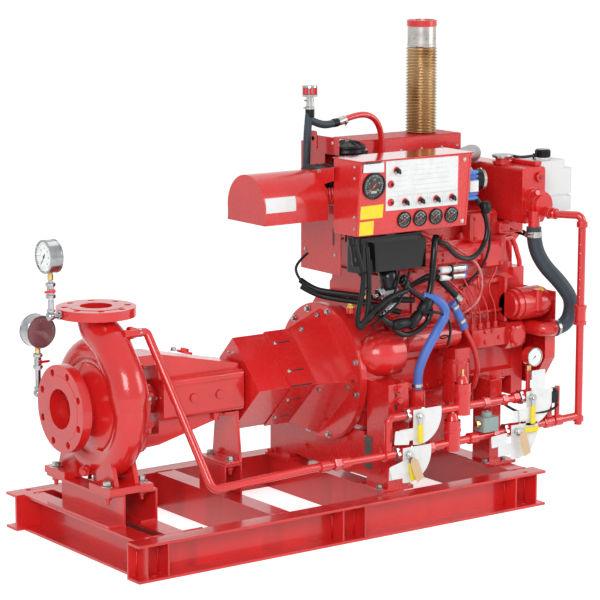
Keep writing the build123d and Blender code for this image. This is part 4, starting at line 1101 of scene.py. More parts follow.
class FIREPUMP_OT_panel(bpy.types.Operator):
    """Add the panel's lid, plate, instruments, switches, push buttons, bare labels and screws"""
    bl_idname = "firepump.panel"
    bl_label = "Control panel"

    def plate(self, build, corners, thick, finish, lift=0.0):
        """A flat plate through its four corners, given across and up the front."""
        outline = [(across, height * PANEL_SLOPE) for across, height in corners]
        build.prism(outline, on_panel(0, 0, lift), X, PANEL_UP, thick, finish, 0.3)

    def field(self, build, left, low, right, high, thick, finish, lift):
        """An upright plate between two corners."""
        self.plate(build, [(left, low), (right, low), (right, high), (left, high)], thick, finish, lift)

    def execute(self, context):
        shell = Build()
        shell.box((PANEL_LEFT - 2, -316, 1214.5), (PANEL_LEFT + 466, -160, 1218.5), "lid_red", 1.2)
        for left, low, right, high in ((3, 2, 12, 243), (452, 2, 459, 243), (3, 235, 459, 243)):
            self.field(shell, left, low, right, high, 1.2, "sheet_red", 0.2)
        shell.dress("panel_frame")

        front = Build()
        scale_plate = [(114.3, 75.7), (413.9, 73.6), (401.8, 237.8), (101.1, 240.7)]
        self.plate(front, scale_plate, 1.2, "plate_white", 0.6)
        self.plate(front, [(4.1, 208.9), (96.7, 205.3), (93.7, 243.0), (11.7, 245.6)], 0.8, "tag_white",
                   0.6)
        half, line = 28.0, 0.4
        for x in KNOBS_X:
            for edge in (x - half, x + half):
                self.field(front, edge - line, 79, edge + line, 124, 0.3, "strap_grey", 1.7)
            self.field(front, x - half, 123.4, x + half, 124.2, 0.3, "strap_grey", 1.7)
        front.dress("panel_plate")

        labels = Build()
        for left, low, right, high, drop in ((6.9, 54.9, 103.6, 99.8, 97.8), (9.0, 2.0, 69.5, 47.8, 46.5)):
            corners = [(left, low), (right, low), (right, high), (left, drop)]
            self.plate(labels, corners, 0.6, "vinyl_yellow", 0.5)
        labels.dress("panel_labels")

        dials = Build()
        tach = Dial(dials, on_panel(58, 162.9), PANEL_OUT, PANEL_UP, 44.5)
        tach.ring("black_gloss", 8)
        tach.face("dial_black", 3.4)
        tach.ticks("tag_white", -130, 130, 27, 3.6)
        tach.needle("needle_red", 222, 4.6)
        tach.lens(6.4)
        counter = tach.spot(180, 0.45)
        dials.box(counter - Vector((11, 5.2, 4)), counter + Vector((11, -3.6, 4)), "strap_grey", 0.4)
        marks = [(str(5 * i), tach.spot(-130 + 65 * i, 0.48, 4.0)) for i in range(5)]
        numerals("tach_number", marks, 8, "tag_white", X, PANEL_UP)
        for x in DIALS_X:
            small = Dial(dials, on_panel(x, 40.7), PANEL_OUT, PANEL_UP, 27.4)
            small.ring("black_gloss", 6)
            small.face("dial_black", 2.6)
            small.ticks("tag_white", -60, 60, 9, 2.8, 0.16, 0.035)
            small.ticks("tag_white", 120, 240, 7, 2.8, 0.1, 0.03)
            small.needle("needle_red", 236, 3.6, 0.7)
            small.lens(4.8)
            marks = [(str(50 * i), small.spot(-60 + 60 * i, 0.42, 3.2)) for i in range(3)]
            numerals(f"dial_{int(x)}_number", marks, 6, "tag_white", X, PANEL_UP)
        dials.dress("panel_dials")

        knobs = Build()
        for x in KNOBS_X:
            self.knob(knobs, on_panel(x, 101.3, 1.6), 0.82)
        self.knob(knobs, on_panel(146.1, 208.4, 1.6), 0.82)
        dome = [(0, 0), (0, 12.5), (3, 12.5), (6, 10), (8, 6), (8, 0)]
        for x, h in PUSH_BUTTONS:
            knobs.lathe(dome, on_panel(x, h, 1.6), PANEL_OUT, "knob_red", 28, True)
            knobs.disc(on_panel(x, h, 9.4), PANEL_OUT, 5.5, 4, "black_gloss", 20)
        knobs.dress("panel_knobs")

        screws = Build()
        for across, height in FRONT_SCREWS:
            screws.screw(on_panel(across, height, 0.4), PANEL_OUT, 6.2)
        for z in SIDE_SCREWS_Z:
            screws.screw((PANEL_LEFT - 0.2, -276.6, z), -X, 4.2)
        screws.dress("panel_screws")

        fins = Build()
        for i in (0, 1, 2, 4, 5, 6):
            z = 1049 + i * 14.5
            fins.box((590, -252, z), (633, -214, z + 8), "cap_blue" if i % 2 == 0 else "hose_blue", 0.8)
        fins.box((592, -248, 1046), (628, -216, 1142), "hose_blue", 1)
        fins.box((594, -256, 1074), (632, -212, 1112), "tag_white", 1.5)
        fins.box((560, -246, 1040), (594, -200, 1150), "sheet_red", 1.5)
        fins.screw((633, -236, 1094), X, 4)
        fins.dress("charger_fins")
        return {"FINISHED"}

    def knob(self, build, base, scale):
        """Selector switch: red collar, black body with a bar handle and a key tab."""
        build.lathe([(0, 15 * scale), (3, 14 * scale), (4, 10 * scale)], base, PANEL_OUT, "knob_red", 28)
        body = [(0, 11 * scale), (10, 10 * scale), (14, 8 * scale), (14, 0)]
        build.lathe(body, base + PANEL_OUT * 3, PANEL_OUT, "black_gloss", 24)
        for turn, finish, reach in ((128, "black_gloss", 20), (228, "strap_grey", 17)):
            direction = X * sin(radians(turn)) + PANEL_UP * cos(radians(turn))
            foot, tip, reach = 4 * scale, 5 * scale, reach * scale
            outline = [(-foot, 2), (foot, 2), (tip, reach), (-tip, reach)]
            build.prism(outline, base + PANEL_OUT * 4, direction.cross(PANEL_OUT), direction, 7, finish,
                        1.2)


# Cables and hoses
# Points that each cable bundle runs through
CABLE_ROUTES = {
    "harness_left": [(109, -262, 955), (114, -280, 892), (128, -288, 835), (112, -290, 760),
                     (99, -288, 700),
                     (110, -288, 668), (136, -288, 684), (150, -285, 760), (156, -275, 850),
                     (158, -262, 930)],
    "harness_sweep": [(104, -290, 676), (124, -296, 694), (170, -300, 735), (240, -300, 770),
                      (300, -292, 776)],
    "harness_right": [(443, -262, 938), (424, -282, 925), (413, -290, 865), (399, -294, 764),
                      (368, -296, 715),
                      (340, -298, 690), (311, -300, 671), (271, -300, 662), (238, -296, 672),
                      (213, -290, 684),
                      (193, -285, 707), (160, -280, 730)],
    "harness_under": [(300, -270, 800), (330, -282, 770), (372, -296, 742), (398, -300, 712),
                      (392, -298, 672),
                      (350, -298, 640), (300, -296, 628), (262, -294, 640), (232, -286, 672)],
    "panel_loop": [(437, -262, 936), (460, -272, 918), (481, -275, 911), (512, -276, 876), (560, -276, 852),
                   (612, -276, 862), (652, -272, 905), (664, -268, 958), (652, -256, 1020),
                   (632, -246, 1048)],
    "bell_sweep": [(60, -30, 800), (80, -70, 772), (130, -110, 762), (180, -160, 756), (232, -220, 748),
                   (290, -262, 742), (340, -282, 740)],
    "bell_sweep_low": [(72, -20, 776), (96, -60, 752), (150, -110, 738), (200, -170, 732), (262, -232, 716),
                       (300, -262, 700)],
}


def pick(*names):
    """The cable routes of these names."""
    return [CABLE_ROUTES[name] for name in names]


class FIREPUMP_OT_cables(bpy.types.Operator):
    """Route the wrapped cable bundles below and beside the panel"""
    bl_idname = "firepump.cables"
    bl_label = "Cables"

    def execute(self, context):
        r = context.scene.firepump_sizes.cable
        left = cables("harness_left", pick("harness_left", "harness_sweep"), r, "black_rubber")
        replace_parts(left, "wiring_harness")
        cables("harness_right", pick("harness_right"), r * 1.2, "black_gloss")
        cables("harness_under", pick("harness_under"), r, "black_gloss")
        cables("panel_loop", pick("panel_loop"), r * 0.95, "black_gloss")
        cables("bell_cables", pick("bell_sweep", "bell_sweep_low"), r * 1.1, "black_rubber")
        thin = [
            [(352, -310, 701), (380, -322, 703), (422, -322, 694), (444, -324, 678), (458, -324, 655),
             (462, -324, 636),
             (460, -322, 610), (453, -320, 580)],
            [(690, -200, 1000), (716, -214, 940), (722, -212, 880), (705, -205, 820), (670, -190, 770),
             (636, -176, 740)],
            [(140, -300, 690), (220, -306, 742), (262, -290, 790), (292, -262, 838)],
            [(150, -300, 676), (236, -304, 722), (290, -290, 762), (330, -270, 836)],
            [(870, -404, 345), (862, -404, 330), (800, -402, 322), (720, -398, 330), (668, -392, 352),
             (640, -360, 380)],
            [(84, -10, 786), (70, 10, 812), (78, 20, 848), (120, 10, 880)],
        ]
        cables("thin_cables", thin, r * 0.5, "black_rubber")
        tubes = Build()
        tubes.lathe([(0, 0), (0, 15), (6, 17), (24, 17), (28, 13), (66, 12), (78, 14), (90, 12), (96, 0)],
                    (106, -254, 966), (0.05, -0.16, -1), "black_rubber", 24)
        boots = (([(0, 11), (3, 17), (46, 19), (60, 15), (62, 11)], (350, -297, 697), (-0.7, 0, -0.65)),
                 ([(0, 11), (3, 17), (60, 19), (74, 15), (76, 11)], (312, -300, 673), (-1, 0, -0.05)),
                 ([(0, 12), (4, 22), (50, 22), (58, 15), (60, 12)], (392, -295, 742), (-0.55, 0, -0.8)),
                 ([(0, 12), (4, 18), (34, 18), (40, 12)], (652, -262, 1040), (0.12, -0.2, -1)))
        for profile, base, axis in boots:
            tubes.lathe(profile, base, axis, "black_rubber", 20, True)
        plug = [(0, 0), (2, 30), (34, 31), (60, 27), (70, 27), (74, 0)]
        tubes.lathe(plug, (262, -232, 846), (0.12, -0.2, -1), "black_gloss", 28, True)
        tubes.lathe([(0, 15), (4, 17), (40, 17), (44, 15)], (318, -238, 812), (0.55, -0.2, -0.8),
                    "black_gloss", 24, True)
        for place, axis in (((122, -287, 850), (0.4, 0, -1)), ((128, -288, 800), (0, 0, -1)),
                            ((404, -293, 800), (0, 0, 1)), ((440, -270, 932), (1, 0, -0.4)),
                            ((448, -272, 926), (1, 0, -0.6)), ((437, -320, 612), (0.3, 0, -1))):
            tubes.ring(place, axis, 13, 2.2, "black_rubber", 20, 6)
        tubes.dress("cable_boots")
        return {"FINISHED"}


class FIREPUMP_OT_hoses(bpy.types.Operator):
    """Route the blue hoses, fuel lines, sight tube and coolant hose with their clamps and fittings"""
    bl_idname = "firepump.hoses"
    bl_label = "Hoses"

    def fitting(self, build, base, axis, radius, length, finish, cap=None):
        """A plain sleeve with eased ends, and a cap on its far end where cap names a finish."""
        sleeve = [(0, radius * 0.8), (2, radius), (length, radius), (length + 2, radius * 0.8)]
        build.lathe(sleeve, base, axis, finish, 24)
        if cap:
            end = Vector(base) + Vector(axis).normalized() * length
            build.disc(end, axis, radius * 0.92, 9, cap, 24)

    def execute(self, context):
        blue = [(342, -300, 441), (342, -302, 492), (352, -306, 532), (376, -315, 588), (398, -317, 618),
                (416, -318, 646), (440, -318, 674), (447, -316, 702), (428, -310, 730), (402, -300, 746),
                (374, -285, 750)]
        short = [(524, -250, 706), (536, -252, 692), (555, -252, 662), (572, -252, 632), (580, -250, 616)]
        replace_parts(cables("blue_hose", [blue], 15.8, "hose_blue"), "blue_hoses")
        cables("blue_hose_short", [short], 15, "hose_blue")
        coolant = [(897, -235, 930), (897, -235, 870), (918, -262, 800), (975, -292, 735),
                   (1025, -300, 665),
                   (1008, -286, 578), (950, -286, 578)]
        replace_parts(cables("coolant_hose_skin", [coolant], 26, "hose_grey"), "coolant_hose")
        fuel = [[(380, -215, 778), (420, -226, 800), (451, -240, 814), (500, -250, 822), (530, -256, 824)],
                [(380, -200, 764), (420, -214, 786), (479, -244, 800), (520, -252, 799)]]
        cables("fuel_lines", fuel, 6, "black_rubber")
        sight = [(560, -180, 905), (600, -200, 872), (635, -225, 841), (662, -234, 805), (673, -232, 760),
                 (668, -230, 712), (640, -225, 678), (597, -215, 655)]
        cables("sight_tube", [sight], 5.5, "clear_tube")
        pipes = [[(578, -250, 622), (590, -250, 600), (618, -250, 559), (640, -250, 500), (646, -244, 440),
                  (640, -230, 400)],
                 [(420, -160, 960), (470, -175, 934), (520, -182, 905), (560, -184, 878)]]
        cables("pipe_lines", pipes, 9, "pipe_red")
        spill = [(470, -228, 802), (494, -240, 778), (520, -246, 752), (545, -246, 730)]
        cables("black_spill", [spill], 11, "black_rubber")
        injectors = [[(662 + i * 34, -195, 610), (662 + i * 34, -200, 660), (600 + i * 40, -196, 740),
                      (520 + i * 92, -182, 800), (500 + i * 92, -150, 880)] for i in range(4)]
        cables("injector_lines", injectors, 3.5, "pipe_red")

        ends = Build()
        for base, axis, r, length in (((520, -254, 824), (1, 0, -0.02), 13, 52),
                                      ((524, -252, 797), (1, 0, -0.04), 11, 46)):
            self.fitting(ends, base, axis, r, length, "stainless", "cap_blue")
            self.fitting(ends, Vector(base) - Vector((46, -5, 2)), (1, 0, -0.03), r * 0.9, 42, "tag_white")
            ends.ring(Vector(base) - Vector((6, 0, 0)), (1, 0, 0), r, 2.4, "black_rubber", 20, 6)
        for base, axis, r, length in (((238, -232, 766), (1, 0, 0.28), 19, 62),
                                      ((262, -240, 708), (1, 0, 0.72), 13, 84)):
            self.fitting(ends, base, axis, r, length, "braid")
            ends.hexagon(base, -Vector(axis), r * 1.9, 10, "chrome")
            back = -Vector(axis).normalized()
            ends.lathe([(0, 7), (1, 8.5), (12, 8.5), (13, 7)], Vector(base) + back * 14, back, "chrome", 20)
        self.fitting(ends, (545, -246, 730), (1, 0, -0.85), 13, 26, "chrome")
        ends.hexagon((566, -246, 712), (1, 0, -0.85), 26, 14, "pipe_red")
        slant = (0.55, 0, -0.83)
        for place, axis, r, side in (((342, -300, 452), Z, 18, 2.2), ((533, -252, 698), slant, 16, 1.0),
                                     ((563, -252, 648), slant, 16, 1.0), ((897, -235, 915), -Z, 27, 4.2),
                                     ((966, -286, 578), -X, 27, 2.6), ((894, -235, 905), -Z, 27, 4.2)):
            ends.clamp(place, axis, r, 10, side=side)
        collar = [(0, 20), (3, 23), (14, 23), (17, 20), (30, 20), (33, 24), (44, 24), (46, 20)]
        ends.lathe(collar, (342, -300, 398), Z, "pipe_red", 28)
        ends.lathe([(0, 8), (1, 10), (30, 10), (31, 8)], (192, -132, 716), Z, "brass", 24)
        ends.hexagon((192, -132, 706), Z, 22, 10, "vinyl_yellow")
        ends.disc((192, -132, 690), Z, 16, 18, "pipe_red", 24)
        ends.hexagon((205, -200, 745), (0.4, -0.3, 1), 20, 16, "brass")
        ends.dress("hose_ends")
        return {"FINISHED"}


# Cooling loop
LOOP_Y = -378.0
RISER_X = 988.4
LOW_Z = 260.0
HIGH_Z = 382.0
LEVERS = ("lever_low_left", "lever_high_left", "lever_low_right", "lever_high_right")
# How far each lever is turned at rest, from straight down towards +X
REST_DEG = {"lever_low_left": 9.0, "lever_high_left": 0.0, "lever_low_right": 90.0, "lever_high_right": 0.0}
LEVER_L = 88.0


def pivot_of(body):
    """The pivot of a moving body, in millimetres, from the frame's joints."""
    for joint in frame["joints"]:
        if joint["child"] == body:
            return Vector(joint["pos_m"]) / MM
    raise RuntimeError(f"no joint moves {body}")


def low_z(x):
    """Height of the lower line, which climbs from the left valve on."""
    return LOW_Z + max(0.0, x - 240.0) * 0.0307


def leaning(lean):
    """Right and up in a plate that leans by this many degrees in the loop's plane."""
    turn = radians(lean)
    return Vector((cos(turn), 0, sin(turn))), Vector((-sin(turn), 0, cos(turn)))


class FIREPUMP_OT_loop_parts(bpy.types.Operator):
    """Add the cooling loop's lever sleeves, tags, unions, valve bodies and regulators"""
    bl_idname = "firepump.loop_parts"
    bl_label = "Loop parts"

    def execute(self, context):
        length = context.scene.firepump_sizes.sleeve_length
        for lever in LEVERS:
            pivot = pivot_of(lever)
            turn = radians(REST_DEG[lever])
            along = Vector((sin(turn), 0, -cos(turn)))
            sleeve = Build()
            start = Vector((pivot.x, LOOP_Y - 36.3, pivot.z)) + along * (LEVER_L - length + 1)
            sleeve.prism(rounded(19, 7.5, 2.5, 3), start, Y.cross(along), Y, length, "vinyl_yellow", 1.0)
            sleeve.hexagon((pivot.x, LOOP_Y - 38.3, pivot.z), -Y, 13, 7, "zinc")
            sleeve.dress(lever + "_sleeve", lever)

        joints = Build()
        union_ring = [(0, 15), (2, 19.5), (8, 19.5), (10, 15)]
        end_ring = [(0, 15), (3, 19), (20, 19), (23, 15)]
        for x in (-98, -17, 161, 516, 752, 850):
            for dx in (-19, 9):
                joints.lathe(union_ring, (x + dx, LOOP_Y, low_z(x)), X, "pipe_red", 24)
        joints.hexagon((-62, LOOP_Y, LOW_Z), X, 40, 20, "pipe_red")
        joints.hexagon((-42, LOOP_Y, LOW_Z), X, 34, 14, "pipe_red")
        for x in (325, 600, 830):
            joints.hexagon((x, LOOP_Y, low_z(x)), X, 34, 22, "pipe_red")
        for x in (346, 560, 640, 690):
            joints.hexagon((x, LOOP_Y, HIGH_Z), X, 34, 22, "pipe_red")
        for x, z in ((224, LOW_Z), (686, low_z(686)), (266, HIGH_Z), (751, HIGH_Z)):
            for dx in (-36, 24):
                joints.hexagon((x + dx, LOOP_Y, z), X, 44, 12, "zinc")
            joints.disc((x, LOOP_Y - 25.6, z), -Y, 11, 6, "zinc", 24)
        for z in (600, 655):
            joints.lathe([(0, 16), (2, 22), (14, 22), (16, 16)], (RISER_X, LOOP_Y, z), Z, "pipe_red", 28)
        for z in (700, 730, 760, 800, 850, 880):
            joints.disc((RISER_X - 12, LOOP_Y - 7, z), (-0.8, -0.6, 0), 1.4, 1.5, "tag_white", 8, 0.2)
        for z in (936, 262):
            joints.lathe(end_ring, (RISER_X, LOOP_Y, z), Z, "pipe_red", 28)
        joints.dress("loop_unions")

        tops = Build()
        for x, z, finish in ((430, low_z(430) + 76, "zinc"), (471, 462, "brass")):
            tops.lathe([(0, 27.5), (2, 29), (10, 29), (12, 27.5)], (x, LOOP_Y, z - 40), Z, "pipe_red", 32)
            tops.lathe([(0, 27), (0, 22), (14, 18), (24, 12), (24, 0)], (x, LOOP_Y, z), Z, "pipe_red", 28)
            tops.hexagon((x, LOOP_Y, z + 20), Z, 15, 8, finish)
            tops.lathe([(0, 4), (20, 4), (20, 0)], (x, LOOP_Y, z + 26), Z, finish, 16)
            for i in range(6):
                turn = radians(60 * i)
                tops.hexagon((x + 22 * cos(turn), LOOP_Y + 22 * sin(turn), z - 29), Z, 8, 5, "pipe_red")
        tops.hexagon((526, LOOP_Y - 6, low_z(526) + 46), X, 20, 16, "brass")
        tops.disc((577, LOOP_Y, 335), Z, 17, 16, "solenoid_green", 28)
        tops.disc((577, LOOP_Y, 351), Z, 6, 5, "zinc", 16)
        tops.disc((610, LOOP_Y, 318), X, 9, 12, "strap_grey", 20)
        tops.box((842, LOOP_Y - 30, 350), (872, LOOP_Y - 10, 392), "black_rubber", 3)
        tops.disc((857, LOOP_Y - 20, 392), Z, 11, 10, "black_gloss", 20)
        tops.dress("loop_tops")

        tags = Build()
        card = [(-16, -42), (16, -42), (16, 26), (8, 42), (-8, 42), (-16, 26)]
        for x, z, lean in ((244, 210, 24), (708, 232, 18)):
            u, v = leaning(lean)
            tags.prism(card, (x, LOOP_Y - 46, z), u, v, 0.8, "card_tan", 0.2)
            tags.ring(Vector((x, LOOP_Y - 47, z)) + v * 34, -Y, 3.2, 1.0, "zinc", 16, 6)
        for x, z, w, h, lean in ((196, 318, 62, 46, -6), (190, 214, 84, 46, 14), (610, 252, 70, 40, 4),
                                 (778, 430, 60, 88, 0), (722, 330, 54, 42, 4)):
            u, v = leaning(lean)
            tags.prism(rounded(w, h, 5), (x, LOOP_Y - 29, z), u, v, 0.9, "tag_white", 0.2)
        tags.dress("loop_tags")
        return {"FINISHED"}


# Engine
class FIREPUMP_OT_engine_parts(bpy.types.Operator):
    """Add the engine's bolts, covers, plugs, ribs, brackets and small castings"""
    bl_idname = "firepump.engine_parts"
    bl_label = "Engine parts"

    def execute(self, context):
        cast = Build()
        for side in (-1, 1):
            for x0 in (430, 640):
                for dx in (12, 153, 82):
                    for z in (634, 726):
                        cast.hexagon((x0 + dx, side * 157, z), side * Y, 12, 6, "block_red")
            for i in range(10):
                cast.hexagon((340 + i * 56, side * 147, 412), side * Y, 12, 6, "block_red")
        for i in range(6):
            for y in (-90, 70):
                cast.hexagon((356 + i * 88, y, 985), Z, 14, 7, "block_red")
        cast.lathe([(0, 26), (3, 30), (22, 30), (26, 24), (26, 0)], (420, -12, 984), Z, "black_gloss", 28)
        for i in range(12):
            turn = radians(i * 30 + 10)
            y, z = 208 * cos(turn), SHAFT_Z + 208 * sin(turn)
            cast.bolt((185.3, y, z), X, 15, "block_red")
        for i in range(4):
            x = 446 + i * 92
            for z in (858, 838):
                cast.hexagon((x + 12, -176, z), -Y, 12, 6, "block_red")
            cast.disc((x + 40, -120, 894), Z, 16, 14, "block_red", 24)
            cast.hexagon((x + 40, -120, 907), Z, 16, 10, "block_red")
        for x, z in ((700, 584), (730, 584), (760, 560), (700, 548), (806, 590), (840, 590), (806, 530),
                     (850, 540)):
            cast.hexagon((x, -235 if x > 790 else -223, z), -Y, 13, 7, "block_red")
        cast.lathe([(0, 30), (2, 34), (8, 34), (12, 26), (12, 0)], (829, -234, 560), -Y, "block_red", 32)
        web = [(0, 0), (76, 0), (76, 18), (18, 150), (0, 150)]
        cast.prism(web, (806, -152, 606), X, Z, 5, "sheet_red", 1.0)
        cast.box((800, -202, 604), (812, -150, 760), "sheet_red", 2)
        cast.box((655, -188, 640), (806, -158, 652), "block_red", 3)
        cast.box((668, -178, 740), (806, -150, 758), "block_red", 3)
        cast.box((716, -190, 796), (800, -150, 884), "block_red", 8)
        cast.box((674, -170, 884), (762, -112, 984), "block_red", 8)
        for x, z in ((690, 900), (740, 900), (690, 966), (740, 966), (726, 872), (790, 872), (726, 810),
                     (790, 810)):
            cast.hexagon((x, -190 if z < 890 else -170, z), -Y, 12, 6, "block_red")
        cast.box((836, -130, 893), (884, -60, 936), "block_red", 6)
        cast.prism(rounded(92, 20, 8), (842, -168, 908), X, Y, 6, "sheet_red", 1.5)
        cast.disc((776, -200, 790), -Y, 4, 3, "ink", 16)
        cast.dress("engine_castings", soften=1.2)

        lift = Build()
        plate = [(-24, 0), (24, 0), (24, 40), (12, 62), (-12, 62), (-24, 40)]
        for x in (330, 850):
            lift.prism(plate, (x, 60, 894), X, Z, 8, "sheet_red", 1.0)
            lift.ring((x, 56, 938), Y, 11, 4, "sheet_red", 24, 8)
        lift.dress("lifting_eyes")

        starter = Build()
        starter.lathe([(0, 43), (2, 46), (12, 46), (14, 43)], (340, -208, 590), X, "block_red", 36)
        starter.lathe([(0, 43), (2, 45), (10, 45), (12, 43)], (520, -208, 590), X, "block_red", 36)
        for turn in (40, 160, 280):
            y, z = -208 + 34 * cos(radians(turn)), 590 + 34 * sin(radians(turn))
            starter.hexagon((572, y, z), X, 9, 6, "zinc")
        for z in (645, 662):
            starter.disc((441, -190, z), X, 4.5, 14, "brass", 16)
            starter.hexagon((446, -190, z), X, 12, 6, "brass")
        starter.dress("starter_parts")

        front = Build()
        for y, z in ((-130, 700), (-130, 620), (-130, 500), (-130, 400), (130, 700), (130, 600), (130, 480),
                     (130, 380), (0, 760), (-80, 760), (80, 760)):
            front.hexagon((930, y, z), X, 13, 7, "block_red")
        front.disc((966, -215, 665), X, 30, 14, "block_red", 32)
        for i in range(16):
            turn = 2 * pi * i / 16
            front.prism([(-1.5, 18), (1.5, 18), (3, 48), (-3, 48)], (834, -215, 665),
                        Y * cos(turn) + Z * sin(turn), Z * cos(turn) - Y * sin(turn), 6, "block_red", 0.5)
        sticker = [(-16, -14), (16, -14), (16, 14), (-16, 14)]
        front.prism(sticker, (918, -251, 707), X, (0, 0.66, 0.75), 0.8, "vinyl_yellow", 0.2)
        front.bolt((949, -286, 602), Z, 13, "block_red")
        front.box((884, -276, 640), (910, -230, 716), "block_red", 5)
        front.dress("engine_front_parts")
        return {"FINISHED"}


# Exhaust and air
class FIREPUMP_OT_exhaust(bpy.types.Operator):
    """Replace the plain flex by smooth bellows with their collar, pipe end and red band"""
    bl_idname = "firepump.exhaust"
    bl_label = "Exhaust flex"

    def execute(self, context):
        low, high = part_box("exhaust_flex")
        low, high = low / MM, high / MM
        base = Vector(((low.x + high.x) / 2, (low.y + high.y) / 2, low.z))
        waves, pitch, start = 28, 10.6, 27.0
        outer, inner = 54.6, 47.5
        profile = [(0, 44), (0, 50), (18, 50), (20, 47)]
        for i in range(waves * 8 + 1):
            radius = (outer + inner) / 2 - (outer - inner) / 2 * cos(2 * pi * i / 8)
            profile.append((start + pitch * i / 8, radius))
        end = start + waves * pitch
        flex = Build()
        flex.lathe(profile + [(end + 3, 46), (end + 3, 44)], base, Z, "bellows", 56, True)
        tall = high.z - low.z
        pipe = [(end, 44), (end, 49), (end + 4, 50.5), (end + 10, 50.5), (end + 12, 49), (tall - 22, 49),
                (tall - 22, 44)]
        flex.lathe(pipe, base, Z, "stainless", 56)
        band = [(tall - 22, 44), (tall - 22, 51.4), (tall - 20, 52), (tall - 1, 52), (tall, 51), (tall, 45),
                (tall - 6, 44)]
        flex.lathe(band, base, Z, "sheet_red", 56)
        liner = [(tall - 60, 43.8), (tall - 2, 43.8), (tall - 2, 42.5), (tall - 60, 42.5)]
        flex.lathe(liner, base, Z, "shaft_steel", 56)
        for i in range(3):
            turn = radians(200 + 50 * i)
            spot = base + Vector((49.4 * cos(turn), 49.4 * sin(turn), end + 30))
            flex.disc(spot, (cos(turn), sin(turn), 0), 1.6, 1.0, "ink", 10, 0.2)
        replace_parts(flex.dress("bellows"), "exhaust_flex")
        return {"FINISHED"}


# Axis and radius of the hood's arch
HOOD_Y, HOOD_Z, HOOD_R = -45.5, 1062.2, 105.8


